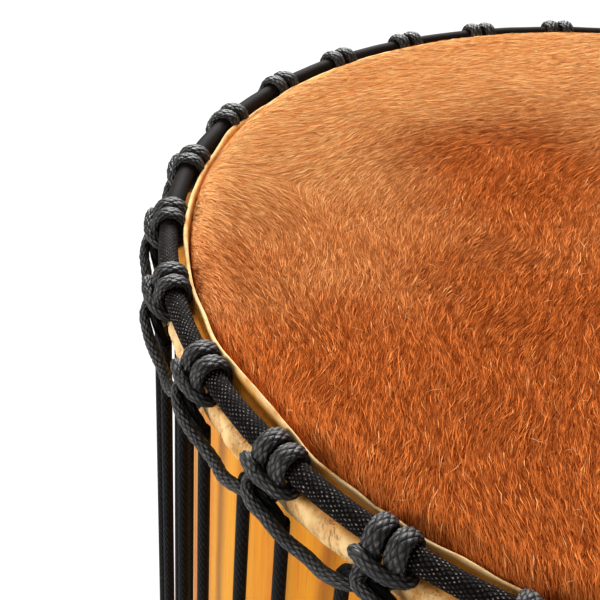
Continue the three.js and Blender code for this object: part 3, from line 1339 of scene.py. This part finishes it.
@dataclass
class Coat:
    """Short hair on a head, as flat blades that taper to both ends and lie along the hair's flow.

    A few hairs are guard hairs, longer, wider and mostly paler, and very few are pale strays that stand
    off the coat. Rows of combings are x, y and the hair's direction there in degrees. Rows of stations
    place a blade's corners: along it in lengths, across in half widths, up in lifts, aside in bends.
    """

    sizes: DrumSizes
    end: End
    count: int
    pieces: int
    length: float = 10.5 * MM
    width: float = 0.22 * MM
    seed: int = 11
    overhang: float = 4.5 * MM
    length_span: Span = (0.5, 1.15)
    width_span: Span = (0.6, 1.25)
    lift_span: Span = (0.25 * MM, 0.75 * MM)
    turn_spread: float = 0.15
    roll_spread: float = 0.4
    bend_spread: float = 0.06
    guard_share: float = 0.08
    guard_length: float = 1.35
    guard_width: float = 1.45
    guard_lift: float = 1.3
    stray_share: float = 0.004
    stray_turn: float = 0.7
    stray_width: float = 0.7
    stray_lift: float = 1.6
    tone_middle: float = 0.42
    tone_spread: float = 0.15
    guard_tone: float = 0.36
    guard_tone_spread: float = 0.3
    guard_tone_room: float = 0.4
    clump_tone: float = 0.12
    clump_length: float = 5.0 * MM
    clump_seed: int = 5
    rim: Fade = Fade(-16.0 * MM, 16.0 * MM, 0.3)
    combing_reach: float = 32.0 * MM
    combing_least: float = 1e-6
    flow_wander: float = 0.16
    flow_wander_length: float = 50.0 * MM
    stations: Table = (
        (-0.5, 0.0, 0.15, 0.0),
        (0.1, -1.0, 1.0, 1.0),
        (0.5, 0.0, 0.75, 0.0),
        (0.1, 1.0, 1.0, 1.0),
    )
    combings: Table = (
        (-0.063, -0.221, -71.0),
        (-0.104, -0.204, -65.0),
        (-0.078, -0.172, -79.0),
        (-0.128, -0.165, -69.0),
        (-0.097, -0.111, -89.0),
        (-0.138, -0.117, -72.0),
        (-0.161, -0.145, -54.0),
        (-0.190, -0.136, -30.0),
        (-0.202, -0.098, -27.0),
        (-0.175, -0.083, -56.0),
        (-0.218, -0.076, -8.0),
        (-0.219, -0.031, 50.0),
        (-0.185, -0.024, 64.0),
        (-0.148, -0.026, 82.0),
        (-0.201, 0.044, 47.0),
        (-0.153, 0.072, 39.0),
        (-0.121, -0.033, 92.0),
        (-0.060, 0.180, 35.0),
        (0.000, 0.060, 80.0),
        (0.060, -0.120, 98.0),
        (0.120, 0.120, 60.0),
        (0.180, -0.030, 75.0),
        (0.090, -0.200, 100.0),
    )

    def flow(self, x: Array, y: Array) -> Array:
        """Direction of the hair, blended from the combings as lines without a front or back.

        A combing counts by exp(-(distance / combing_reach) squared), and by a little far from all of
        them. Angles are doubled for the blend and halved after it. A slow noise makes the flow wander.

        Args:
            x: Places along x.
            y: Places along y.

        Returns:
            Angles in the plane.
        """
        cosine, sine = np.zeros_like(x), np.zeros_like(x)
        for centre_x, centre_y, degrees in self.combings:
            distance_squared = (x - centre_x) ** 2 + (y - centre_y) ** 2
            near = np.exp(-distance_squared / self.combing_reach**2) + self.combing_least
            cosine += near * math.cos(2.0 * math.radians(degrees))
            sine += near * math.sin(2.0 * math.radians(degrees))
        places = np.stack([x, y, np.zeros_like(x)], axis=-1)
        wander = smooth_noise(places, self.flow_wander_length, self.seed, octaves=2)
        return 0.5 * np.arctan2(sine, cosine) + self.flow_wander * wander

    def surface(self, radius: Array) -> tuple[Array, Array]:
        """Section of the hide: flat, then an arc over the bearing edge, then straight down.

        Args:
            radius: Distance along the hide from the middle, which runs on down the collar.

        Returns:
            The distance from the axis and the height of the hide there.
        """
        size = self.sizes
        start = size.shell_radius - size.edge_round
        bend = size.edge_round + size.hide + size.gap
        over = np.maximum(radius - start, 0.0)
        angle = np.minimum(over / bend, 0.5 * math.pi)
        below = np.maximum(over - 0.5 * math.pi * bend, 0.0)
        axis_radius = np.minimum(radius, start) + bend * np.sin(angle)
        height = size.height - bend * (1.0 - np.cos(angle)) - below
        return axis_radius, height

    def on_hide(self, x: Array, y: Array, lift: Array) -> Array:
        """Lays flat places onto the hide, over its edge, raised by a lift.

        Args:
            x: Places along x, measured over the hide.
            y: Places along y, measured over the hide.
            lift: Height over the hide.

        Returns:
            Points, n by 3.
        """
        radius = np.hypot(x, y) + TINY
        step = 0.2 * MM
        axis_radius, height = self.surface(radius)
        next_radius, next_height = self.surface(radius + step)
        slope = np.stack([next_radius - axis_radius, next_height - height], axis=-1)
        slope /= np.linalg.norm(slope, axis=-1, keepdims=True)
        reach = axis_radius - slope[..., 1] * lift
        level = height + slope[..., 0] * lift
        return np.stack([reach * x / radius, reach * y / radius, level], axis=-1)

    def blades(self) -> tuple[Array, Array]:
        """Scatters the hairs evenly over the head, each along the flow with a turn of its own.

        Returns:
            Corners of every hair, n by 4 by 3, in order of their angle round the head, and their tones.
        """
        rng = np.random.default_rng(self.seed + 100 * self.end.number)
        count = self.count
        radius = (self.sizes.shell_radius + self.overhang) * np.sqrt(rng.uniform(0.0, 1.0, count))
        angle = np.sort(rng.uniform(0.0, TAU, count))
        x, y = radius * np.cos(angle), radius * np.sin(angle)
        stray = rng.uniform(size=count) < self.stray_share
        guard = rng.uniform(size=count) < self.guard_share
        turn = rng.normal(0.0, self.turn_spread, count) + stray * rng.normal(0.0, self.stray_turn, count)
        length = self.length * rng.uniform(*self.length_span, count)
        length *= np.where(guard, self.guard_length, 1.0)
        half = 0.5 * self.width * rng.uniform(*self.width_span, count)
        half *= np.where(stray, self.stray_width, np.where(guard, self.guard_width, 1.0))
        lift = rng.uniform(*self.lift_span, count)
        lift *= np.where(stray, self.stray_lift, np.where(guard, self.guard_lift, 1.0))
        roll = rng.normal(0.0, self.roll_spread, count)
        bend = rng.normal(0.0, self.bend_spread, count) * length
        heading = self.flow(x, y) + turn
        corners = []
        for along, across, up, aside in self.stations:
            ahead = along * length
            sideways = across * half * np.cos(roll) + aside * bend
            corner_x = x + ahead * np.cos(heading) - sideways * np.sin(heading)
            corner_y = y + ahead * np.sin(heading) + sideways * np.cos(heading)
            corners.append(self.on_hide(corner_x, corner_y, lift * up + across * half * np.sin(roll)))
        places = np.stack([x, y, np.zeros_like(x)], axis=-1)
        clump = smooth_noise(places, self.clump_length, self.clump_seed, octaves=2)
        tone = rng.normal(self.tone_middle, self.tone_spread, count)
        tone += self.clump_tone * clump + self.rim.at(radius, self.sizes.shell_radius)
        tone += guard * rng.normal(self.guard_tone, self.guard_tone_spread, count)
        tone = np.clip(tone, 0.0, 1.0 + self.guard_tone_room * guard) + stray
        return np.stack(corners, axis=1), tone

    def build(self, finishes: Finishes) -> None:
        """Makes the hairs in sectors of the head, each sector a piece of its own.

        Args:
            finishes: The shared materials.
        """
        blades, tone = self.blades()
        blades = self.sizes.placed(blades, self.end)
        bounds = np.linspace(0, self.count, self.pieces + 1).astype(int)
        for number, (start, stop) in enumerate(zip(bounds[:-1], bounds[1:]), start=1):
            name = f"{self.end.label}_hair_{number}"
            mesh = blade_mesh(name, blades[start:stop], self.end is End.BOTTOM)
            set_attribute(mesh, "tone", np.repeat(tone[start:stop], 4))
            seat(mesh, finishes.hair, f"{self.end.label}_head")


@dataclass
class Fuzz:
    """Clipped pale hair on the outer side of a head's lap, as short flat blades.

    Rows of stations place a blade's corners: along it in lengths, across in half widths, up in lifts.
    The fades tell the painted shade, brown and gold, of a blade by its angle round the lap's section, in
    radians.
    """

    sizes: DrumSizes
    end: End
    count: int
    seed: int = 51
    length: float = 2.2 * MM
    width: float = 0.3 * MM
    length_span: Span = (0.5, 1.2)
    width_span: Span = (0.6, 1.3)
    lift_span: Span = (0.08 * MM, 0.24 * MM)
    around_span_degrees: Span = (-115.0, 62.0)
    heading_spread: float = 0.7
    shade_spread: float = 0.16
    # Painted shade: brown low on the lap and under the ring, and gold under the ring
    low_brown_shade: Fade = Fade(-0.9, -0.8, 0.8)
    ring_brown_shade: Fade = Fade(0.35, 0.6, 0.7)
    gold: Fade = Fade(0.7, 0.5, 0.8)
    stations: Table = ((-0.5, 0.0, -0.5), (0.0, -1.0, 0.7), (0.5, 0.0, 1.0), (0.0, 1.0, 0.7))

    def build(self, finishes: Finishes) -> None:
        """Scatters the blades round the lap, mostly pointing down it.

        A blade lies at an angle round the drum and one round the lap's section. Going on along or
        across it turns both angles, by the distance over the hoop's radius and over the roll's.

        Args:
            finishes: The shared materials.
        """
        size = self.sizes
        rng = np.random.default_rng(self.seed + self.end.number)
        angle = np.sort(rng.uniform(0.0, TAU, self.count))
        around = np.radians(rng.uniform(*self.around_span_degrees, self.count))
        heading = rng.normal(-0.5 * math.pi, self.heading_spread, self.count)
        length = self.length * rng.uniform(*self.length_span, self.count)
        half = 0.5 * self.width * rng.uniform(*self.width_span, self.count)
        lift = rng.uniform(*self.lift_span, self.count)
        corners = []
        for along, across, up in self.stations:
            ahead = along * length
            aside = across * half
            turned = around + (ahead * np.sin(heading) + aside * np.cos(heading)) / size.roll_radius
            moved = angle + (ahead * np.cos(heading) - aside * np.sin(heading)) / size.hoop_radius
            reach = size.roll_radius + lift * up
            radius = size.hoop_radius + reach * np.cos(turned)
            height = size.height - size.hoop_drop + reach * np.sin(turned)
            corners.append(round_axis(radius, moved, height))
        # A random mottle plus painted shade low on the lap and under the ring
        shade = rng.normal(0.0, self.shade_spread, self.count)
        shade += self.low_brown_shade.at(around) + self.ring_brown_shade.at(around)
        blades = size.placed(np.stack(corners, axis=1), self.end)
        mesh = blade_mesh(f"{self.end.label}_lap_fuzz", blades, self.end is End.BOTTOM)
        set_attribute(mesh, "shade", np.repeat(shade, 4))
        set_attribute(mesh, "flap", np.repeat(self.gold.at(around), 4))
        seat(mesh, finishes.trimmed, f"{self.end.label}_head")


@dataclass
class Hoops:
    """The steel rod inside the lap and the one inside the crown ring's sleeve."""

    sizes: DrumSizes
    end: End
    segments: int = 240
    sides: int = 12

    def build(self, finishes: Finishes) -> None:
        """Turns a round section for each rod.

        Args:
            finishes: The shared materials.
        """
        size = self.sizes
        rods = {
            "flesh_hoop": (size.hoop_radius, size.hoop_drop, size.flesh_rod),
            "crown_ring": (size.crown_radius, size.crown_drop, size.crown_rod),
        }
        for part, (radius, drop, rod) in rods.items():
            section = arc((radius, size.level(self.end, drop)), rod, 0.0, 360.0, self.sides)[:-1]
            points = revolve_profile(section, full_turn(self.segments))
            mesh = grid_mesh(f"{self.end.label}_{part}_rod", points, True, True)
            seat(mesh, finishes.steel, f"{self.end.label}_{part}")


@dataclass
class CrownSleeve:
    """The braided sleeve round a crown ring."""

    sizes: DrumSizes
    end: End
    segments: int
    sides: int = 24
    seed: int = 21
    swell: float = 0.08 * MM
    swell_length: float = 30.0 * MM
    tilt: float = 0.3

    def build(self, finishes: Finishes) -> None:
        """Closed ring whose section's radius swells by a slow noise round the drum.

        The noise is read round a circle off the middle, above it for one end and below it for the
        other, so that the two sleeves differ.

        Args:
            finishes: The shared materials.
        """
        size = self.sizes
        angles = full_turn(self.segments)[:, None]
        around = full_turn(self.sides)[None]
        along = round_axis(1.0, angles[:, 0], self.tilt * self.end.value) * size.crown_radius
        swell = self.swell * smooth_noise(along, self.swell_length, self.seed, octaves=2)
        minor = (size.sleeve_radius + swell)[:, None]
        radius = size.crown_radius + minor * np.cos(around)
        height = size.level(self.end, size.crown_drop) + minor * np.sin(around)
        points = round_axis(radius, angles, height)
        mesh = grid_mesh(f"{self.end.label}_ring_sleeve", points, True, True, uv_box=(0.0, 0.0, 1.0, 1.0))
        seat(mesh, finishes.sleeve, f"{self.end.label}_crown_sleeve")


@dataclass
class RopeSkin:
    """Braided skin of a rope that follows an unrolled route round the drum."""

    sizes: DrumSizes
    step: float
    sides: int
    relief: float
    strands: int = 8
    lobe: float = 4.2 * MM
    mean_height: float = 0.6

    def lobe_count(self, stations: int) -> int:
        """Number of lobes along a closed rope, even so that the braid meets itself."""
        return 2 * round(stations * self.step / (2.0 * self.lobe))

    def braid(self, along: Array, around: Array) -> Array:
        """Height of the braid: rows of lobes that slant one way and the other in turn.

        With rising = cos(pi (around + along)) and falling = cos(pi (around - along)), it is the size of
        rising times that of falling to the power TUCK where both have one sign, and else the reverse.

        Args:
            along: Place along the rope, in lobes.
            around: Place around it, in strands.

        Returns:
            Heights of 0 to 1.
        """
        rising = np.cos(math.pi * (around + along))
        falling = np.cos(math.pi * (around - along))
        one_way = np.abs(rising) * np.abs(falling) ** TUCK
        other_way = np.abs(falling) * np.abs(rising) ** TUCK
        return np.where(rising * falling > 0.0, one_way, other_way)

    def skin(self, path: Array, level: float, sense: int) -> Array:
        """Lays the rope's section along a closed route and rolls it round the drum.

        A section is an ellipse with its thin side along the facing direction, raised by the braid.

        Args:
            path: Rows of along, outward and up in mm, facing in degrees, and half thickness and half
                width in mm.
            level: Height that up is measured from.
            sense: 1 where up is up, and -1 where the route is mirrored.

        Returns:
            Grid of points.
        """
        place = path[:, :3] * MM
        run = np.gradient(place, axis=0)
        run /= np.linalg.norm(run, axis=1, keepdims=True)
        facing = np.radians(path[:, 3])
        face = np.stack([np.zeros_like(facing), np.cos(facing), np.sin(facing)], axis=1)
        thin = face - run * np.sum(face * run, axis=1, keepdims=True)
        thin /= np.linalg.norm(thin, axis=1, keepdims=True)
        wide = np.cross(run, thin)
        around = full_turn(self.sides)
        along = np.arange(len(path)) * self.lobe_count(len(path)) / len(path)
        height = self.braid(along[:, None], around[None] * self.strands / TAU)
        swell = self.relief * (height - self.mean_height)
        thick = (path[:, 4] * MM)[:, None] + swell
        broad = (path[:, 5] * MM)[:, None] + swell
        points = (
            place[:, None]
            + thin[:, None] * (thick * np.cos(around)[None])[..., None]
            + wide[:, None] * (broad * np.sin(around)[None])[..., None]
        )
        angle = points[..., 0] / self.sizes.crown_radius
        return round_axis(self.sizes.crown_radius + points[..., 1], angle, level + sense * points[..., 2])

    def meshes(self, name: str, points: Array, flip: bool, pieces: int) -> list[Mesh]:
        """Cuts a closed rope's skin into pieces that share their end rows, with the braid as UV map.

        Args:
            name: Name that each piece's name starts with.
            points: Closed grid, stations by sides.
            flip: Whether the faces are turned over.
            pieces: Number of pieces.

        Returns:
            The meshes.
        """
        rows = len(points)
        lobes = self.lobe_count(rows)
        bounds = np.linspace(0, rows, pieces + 1).astype(int)
        meshes = []
        for number, (start, stop) in enumerate(zip(bounds[:-1], bounds[1:]), start=1):
            whole = pieces == 1
            index = np.arange(rows) if whole else np.arange(start, stop + 1) % rows
            label = name if whole else f"{name}_{number}"
            box = (lobes * start / rows, 0.0, lobes * stop / rows, float(self.strands))
            meshes.append(grid_mesh(label, points[index], whole, True, flip=flip, uv_box=box))
        return meshes


def facing_out(table: Table) -> list[list[float]]:
    """Rows of along, outward, up and shape with a facing of 0 degrees put in before the shape."""
    return [[along, out, up, 0.0, *shape] for along, out, up, *shape in table]


def closed_curve(rows: Array, ring_mm: float, step_mm: float) -> Array:
    """Smooth curve through the rows of a rope that closes on itself round the drum.

    Args:
        rows: Rows of a route whose first value is the place along the ring, in mm.
        ring_mm: Length of the whole ring.
        step_mm: Wanted distance between stations.

    Returns:
        The stations.
    """
    samples_per_span = 12
    lap = np.zeros(rows.shape[1])
    lap[0] = ring_mm
    ringed = np.concatenate([rows[-1:] - lap, rows, rows[:2] + lap])
    return even_steps(through_points(ringed, samples_per_span), step_mm)[:-1]


@dataclass
class CradleRope:
    """The rope that is cow hitched to a crown ring thirty times and hangs in short swags between.

    Rows of entry_mm and leave_mm are along, outward and up, and swag_mm is outward and up at a swag's
    middle. Rows of first_wrap, bar and second_wrap are along in mm, degrees round the ring and distance
    from its centre in mm. All end with the rope's half thickness and half width in mm.
    """

    sizes: DrumSizes
    end: End
    pieces: int
    skin: RopeSkin
    seed: int = 31
    wander_mm: float = 0.25
    tight_share: float = 0.35
    hitch_shift_mm: float = 0.9
    swag_mm: tuple[float, ...] = (8.2, -22.8, 2.4, 2.5)
    entry_mm: Table = (
        (-19.0, 8.9, -21.9, 2.4, 2.5),
        (-13.0, 9.3, -20.4, 2.4, 2.5),
        (-8.0, 8.4, -18.8, 2.3, 2.55),
        (-3.6, 6.0, -18.8, 2.2, 2.6),
        (0.2, 4.1, -17.4, 2.1, 2.7),
        (4.0, 4.2, -12.5, 2.0, 3.0),
        (6.2, 5.3, -7.5, 2.0, 3.4),
    )
    first_wrap: Table = (
        (6.9, -35.0, 6.5, 2.0, 3.7),
        (6.8, 0.0, 6.5, 2.1, 3.9),
        (6.5, 45.0, 6.45, 2.1, 3.9),
        (6.2, 90.0, 6.25, 1.9, 3.8),
        (6.2, 130.0, 6.3, 1.8, 3.6),
        (6.5, 165.0, 6.1, 1.6, 3.5),
        (7.1, 200.0, 6.1, 1.6, 3.3),
        (8.3, 240.0, 6.4, 1.8, 3.1),
        (9.8, 270.0, 7.0, 2.0, 3.0),
    )
    bar: Table = (
        (11.4, 290.0, 7.6, 2.2, 2.9),
        (10.8, 308.0, 8.3, 2.4, 3.0),
        (8.4, 322.0, 9.1, 2.7, 3.5),
        (5.0, 332.0, 9.8, 2.7, 3.7),
        (0.5, 340.0, 10.1, 2.7, 3.7),
        (-3.2, 347.0, 9.8, 2.6, 3.4),
        (-5.5, 346.0, 9.2, 2.5, 3.2),
        (-6.8, 328.0, 8.5, 2.3, 3.0),
        (-7.2, 300.0, 7.6, 2.0, 2.9),
        (-6.8, 262.0, 6.8, 1.8, 2.9),
    )
    second_wrap: Table = (
        (-5.7, 225.0, 6.3, 1.6, 3.2),
        (-4.7, 190.0, 6.1, 1.6, 3.4),
        (-4.0, 160.0, 6.1, 1.6, 3.5),
        (-3.5, 130.0, 6.3, 1.8, 3.6),
        (-3.0, 90.0, 6.25, 1.9, 3.8),
        (-2.6, 45.0, 6.45, 2.1, 3.8),
        (-2.2, 0.0, 6.5, 2.1, 3.8),
        (-2.1, -35.0, 6.5, 2.0, 3.5),
    )
    leave_mm: Table = (
        (-2.7, 6.4, -8.2, 2.0, 3.1),
        (-3.9, 8.8, -10.4, 2.0, 3.0),
        (-2.4, 10.9, -12.2, 2.1, 2.9),
        (1.8, 11.8, -14.2, 2.1, 2.9),
        (7.4, 11.4, -16.5, 2.2, 2.8),
        (13.2, 10.5, -19.0, 2.3, 2.6),
        (19.6, 9.3, -21.3, 2.4, 2.5),
    )

    def hitch(self) -> Array:
        """Stations of one swag's middle and one hitch, in mm from the ring's centre.

        The rope goes up under its own bar, over the ring, back under it, across as the bar, over the
        ring once more, and leaves in front of where it came in.

        Returns:
            Rows as RopeSkin.skin takes them.
        """
        start = (-0.5 * self.sizes.pitch / MM, *self.swag_mm)
        round_ring = []
        for along, degrees, reach, *shape in (*self.first_wrap, *self.bar, *self.second_wrap):
            angle = math.radians(degrees)
            round_ring.append([along, reach * math.cos(angle), reach * math.sin(angle), degrees, *shape])
        return np.array(facing_out((start, *self.entry_mm)) + round_ring + facing_out(self.leave_mm))

    def route(self) -> Array:
        """The whole rope: each hitch a pitch on from the last, with its points moved a little by chance.

        The points round the ring, where the rope is tight, move less. The upper hitches sit where the
        drum's drift puts them, and the lower ones are shifted by chance.

        Returns:
            Rows as RopeSkin.skin takes them.
        """
        rng = np.random.default_rng(self.seed + self.end.number)
        one = self.hitch()
        pitch_mm = self.sizes.pitch / MM
        count = self.sizes.hitches
        every = np.repeat(one[None], count, axis=0)
        every[..., 0] += (pitch_mm * (np.arange(count) + 0.5 * self.end.number))[:, None]
        tight = slice(1 + len(self.entry_mm), len(one) - len(self.leave_mm))
        share = np.ones((len(one), 1))
        share[tight] = self.tight_share
        every[..., :3] += rng.normal(0.0, self.wander_mm, (count, len(one), 3)) * share
        if self.end is End.TOP:
            every[..., 0] += self.sizes.drift(every[..., 0])
        else:
            every[:, tight, 0] += rng.normal(0.0, self.hitch_shift_mm, (count, 1))
        return closed_curve(every.reshape(-1, one.shape[1]), pitch_mm * count, self.skin.step / MM)

    def build(self, finishes: Finishes) -> None:
        """Skins the whole rope and seats it as a few pieces.

        Args:
            finishes: The shared materials.
        """
        level = self.sizes.level(self.end, self.sizes.crown_drop)
        points = self.skin.skin(self.route(), level, self.end.value)
        label = self.end.label
        for mesh in self.skin.meshes(f"{label}_cradle", points, self.end is End.BOTTOM, self.pieces):
            seat(mesh, finishes.cradle, f"{label}_cradle_rope")


@dataclass
class PullRope:
    """The one rope that runs up and down the shell, turning over the hitches at both ends.

    Rows of turn_mm are along, outward, up, half thickness and half width at one upper turn.
    """

    sizes: DrumSizes
    pieces: int
    skin: RopeSkin
    seed: int = 41
    run_stations: int = 3
    run_wander_mm: float = 0.5
    turn_mm: Table = (
        (-12.9, 4.2, -34.0, 2.5, 2.75),
        (-13.1, 4.2, -24.0, 2.5, 2.75),
        (-11.9, 4.8, -19.6, 2.4, 2.6),
        (-9.7, 6.2, -16.3, 2.2, 2.5),
        (-5.9, 7.3, -14.0, 2.0, 2.5),
        (-1.0, 8.0, -12.9, 1.9, 2.5),
        (3.6, 7.8, -13.6, 1.9, 2.5),
        (6.9, 6.8, -16.1, 2.1, 2.5),
        (8.9, 5.3, -20.3, 2.3, 2.6),
        (9.7, 4.3, -26.0, 2.5, 2.75),
        (10.0, 4.2, -34.0, 2.5, 2.75),
    )

    def route(self) -> Array:
        """Route measured up from the upper crown ring: a turn, a run down, a mirrored turn, a run up.

        Each run is shifted along the ring by chance, and the upper turns follow the drum's drift, which
        fades out down the runs.

        Returns:
            Rows as RopeSkin.skin takes them.
        """
        size = self.sizes
        pitch_mm = size.pitch / MM
        upper = np.array(facing_out(self.turn_mm))
        lower = upper.copy()
        lower[:, 0] += 0.5 * pitch_mm
        lower[:, 2] = -(size.height - 2.0 * size.crown_drop) / MM - lower[:, 2]
        following = upper[0].copy()
        following[0] += pitch_mm
        share = np.linspace(0.0, 1.0, self.run_stations + 2)[1:-1, None]
        down = upper[-1] * (1.0 - share) + lower[0] * share
        rise = lower[-1] * (1.0 - share) + following * share
        one = np.concatenate([upper, down, lower, rise])
        every = np.repeat(one[None], size.hitches, axis=0)
        every[..., 0] += (pitch_mm * np.arange(size.hitches))[:, None]
        rng = np.random.default_rng(self.seed)
        for first in (len(upper), len(upper) + len(down) + len(lower)):
            shift = rng.normal(0.0, self.run_wander_mm, (size.hitches, 1))
            every[:, first : first + self.run_stations, 0] += shift
        height_share = np.clip(1.0 - every[..., 2] / lower[-1, 2], 0.0, 1.0)
        every[..., 0] += height_share * size.drift(every[..., 0])
        return closed_curve(every.reshape(-1, one.shape[1]), pitch_mm * size.hitches, self.skin.step / MM)

    def build(self, finishes: Finishes) -> None:
        """Skins the rope and seats it as a few pieces.

        Args:
            finishes: The shared materials.
        """
        points = self.skin.skin(self.route(), self.sizes.level(End.TOP, self.sizes.crown_drop), 1)
        for mesh in self.skin.meshes("pull_runs", points, False, self.pieces):
            seat(mesh, finishes.pull, "pull_rope")


@dataclass(frozen=True)
class Lamp:
    """One square lamp: its name, where it hangs, its side and its power in watts."""

    name: str
    place: Triple
    side: float
    power: float

    def hang(self, target: Triple) -> None:
        """Adds the lamp to the scene, facing a target.

        Args:
            target: What it faces.
        """
        data = bpy.data.lights.new(self.name, "AREA")
        data.size = self.side
        data.energy = self.power
        lamp = bpy.data.objects.new(self.name, data)
        lamp.location = self.place
        aim = Vector(target) - Vector(self.place)
        lamp.rotation_euler = aim.to_track_quat("-Z", "Y").to_euler()
        bpy.context.scene.collection.objects.link(lamp)


@dataclass(frozen=True)
class Studio:
    """Pale floor, soft lamps and a camera at the photograph's viewing angle.

    The camera stands a distance from the drum's axis and a rise above the flap's edge, which lies an
    edge_drop below the head. The world's span is its strength as a light and as the camera sees it. The
    floor's glow is the share of plain white in what is seen of it, and the rest keeps the shadow.
    """

    sizes: DrumSizes
    lamps: tuple[Lamp, ...] = (
        Lamp("key", (-0.8, 1.5, 1.7), 1.0, 100.0),
        Lamp("fill", (1.6, -1.6, 1.7), 1.6, 11.0),
        Lamp("left", (-1.75, -1.3, 1.05), 0.9, 40.0),
    )
    aim_share: float = 0.8
    world_span: Span = (0.22, 1.0)
    floor_reach: float = 30.0
    floor_drop: float = 1.0 * MM
    floor_grey: float = 0.9
    floor_roughness: float = 0.9
    floor_glow: float = 0.86
    distance: float = 0.4928
    rise: float = 0.2688
    edge_drop: float = 5.0 * MM
    turn_degrees: float = -1.5
    yaw_degrees: float = -22.78
    pitch_degrees: float = -34.91
    roll_degrees: float = 3.95
    focal_mm: float = 69.14
    sensor_mm: float = 36.0
    near_limit: float = 0.01

    def camera(self) -> None:
        """Stands the camera off the drum's near side, looking down across its left rim.

        It is placed on -Y, aimed by yaw and pitch and rolled, and all of that is turned round the drum.
        """
        turn = Matrix.Rotation(math.radians(self.turn_degrees), 3, "Z")
        yaw, pitch = math.radians(self.yaw_degrees), math.radians(self.pitch_degrees)
        roll = math.radians(self.roll_degrees)
        level_forward = Vector((math.sin(yaw), math.cos(yaw), 0.0))
        level_right = Vector((math.cos(yaw), -math.sin(yaw), 0.0))
        forward = math.cos(pitch) * level_forward + Vector((0.0, 0.0, math.sin(pitch)))
        level_up = level_right.cross(forward)
        right = math.cos(roll) * level_right + math.sin(roll) * level_up
        up = -math.sin(roll) * level_right + math.cos(roll) * level_up
        axes = Matrix((turn @ right, turn @ up, turn @ -forward)).transposed().to_4x4()
        place = turn @ Vector((0.0, -self.distance, 0.0))
        place.z = self.sizes.height - self.edge_drop + self.rise
        data = bpy.data.cameras.new("camera")
        data.lens = self.focal_mm
        data.sensor_width = self.sensor_mm
        data.clip_start = self.near_limit
        camera = bpy.data.objects.new("camera", data)
        camera.matrix_world = Matrix.Translation(place) @ axes
        bpy.context.scene.collection.objects.link(camera)
        bpy.context.scene.camera = camera

    def floor(self) -> None:
        """Lays a pale floor just under the drum, white to the camera but for a little shadow."""
        reach = self.floor_reach
        corners = np.array([[-reach, -reach], [reach, -reach], [reach, reach], [-reach, reach]])
        vertices = np.column_stack([corners, np.full(4, -self.floor_drop)])
        mesh = fill_mesh("floor", vertices, np.arange(4), np.array([4]))
        nodes = Nodes("pale_floor")
        grey = self.floor_grey
        nodes.shader.inputs["Base Color"].default_value = (grey, grey, grey, 1.0)
        nodes.shader.inputs["Roughness"].default_value = self.floor_roughness
        path = nodes.add("ShaderNodeLightPath").outputs
        seen = nodes.math("MAXIMUM", path["Is Camera Ray"], path["Is Glossy Ray"])
        blend = nodes.add("ShaderNodeMixShader")
        nodes.link(nodes.scaled(seen, self.floor_glow), blend.inputs["Fac"])
        nodes.link(nodes.shader.outputs["BSDF"], blend.inputs[1])
        nodes.link(nodes.add("ShaderNodeEmission").outputs["Emission"], blend.inputs[2])
        nodes.link(blend.outputs["Shader"], nodes.output.inputs["Surface"])
        new_object(mesh, nodes.material)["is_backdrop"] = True

    def world(self) -> None:
        """Even pale surroundings, white where the camera sees them."""
        world = bpy.data.worlds.new("studio")
        world.use_nodes = True
        tree = world.node_tree
        back = tree.nodes["Background"]
        back.inputs["Color"].default_value = (1.0, 1.0, 1.0, 1.0)
        path = tree.nodes.new("ShaderNodeLightPath")
        level = tree.nodes.new("ShaderNodeMapRange")
        level.inputs["To Min"].default_value, level.inputs["To Max"].default_value = self.world_span
        tree.links.new(path.outputs["Is Camera Ray"], level.inputs["Value"])
        tree.links.new(level.outputs["Result"], back.inputs["Strength"])
        bpy.context.scene.world = world

    def build(self) -> None:
        """Sets up the view transform, the world, the lamps, the floor and the camera."""
        bpy.context.scene.view_settings.view_transform = "Standard"
        self.world()
        for lamp in self.lamps:
            lamp.hang((0.0, 0.0, self.aim_share * self.sizes.height))
        self.floor()
        self.camera()


@dataclass(frozen=True)
class Detail:
    segments: int
    hairs: int
    quick_hairs: int
    hair_pieces: int
    fuzz: int
    quick_fuzz: int
    rope_pieces: int
    rope_step: float
    rope_sides: int
    rope_relief: float


DETAILS = {
    End.TOP: Detail(
        segments=900,
        hairs=350000,
        quick_hairs=90000,
        hair_pieces=5,
        fuzz=60000,
        quick_fuzz=20000,
        rope_pieces=3,
        rope_step=1.05 * MM,
        rope_sides=30,
        rope_relief=0.5 * MM,
    ),
    End.BOTTOM: Detail(
        segments=360,
        hairs=50000,
        quick_hairs=20000,
        hair_pieces=1,
        fuzz=10000,
        quick_fuzz=5000,
        rope_pieces=1,
        rope_step=2.1 * MM,
        rope_sides=12,
        rope_relief=0.3 * MM,
    ),
}


def main() -> None:
    """Builds the drum's pieces in order and reports each through the log."""
    logging.basicConfig(level=logging.INFO, format="%(name)s: %(message)s")
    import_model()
    sizes = DrumSizes.from_frame()
    LOG.info("sizes: %s", sizes)
    Studio(sizes).build()
    finishes = Finishes()
    Shell(sizes).build(finishes)
    for end, detail in DETAILS.items():
        Head(sizes, end, detail.segments).build(finishes)
        hairs = detail.hairs
        Coat(sizes, end, hairs, detail.hair_pieces).build(finishes)
        Fuzz(sizes, end, detail.fuzz).build(finishes)
        Hoops(sizes, end).build(finishes)
        CrownSleeve(sizes, end, detail.segments).build(finishes)
    for end, detail in DETAILS.items():
        skin = RopeSkin(sizes, detail.rope_step, detail.rope_sides, detail.rope_relief)
        CradleRope(sizes, end, detail.rope_pieces, skin).build(finishes)
    pull_skin = RopeSkin(sizes, step=2.6 * MM, sides=10, relief=0.0)
    PullRope(sizes, pieces=2, skin=pull_skin).build(finishes)


if __name__ == "__main__":
    main()
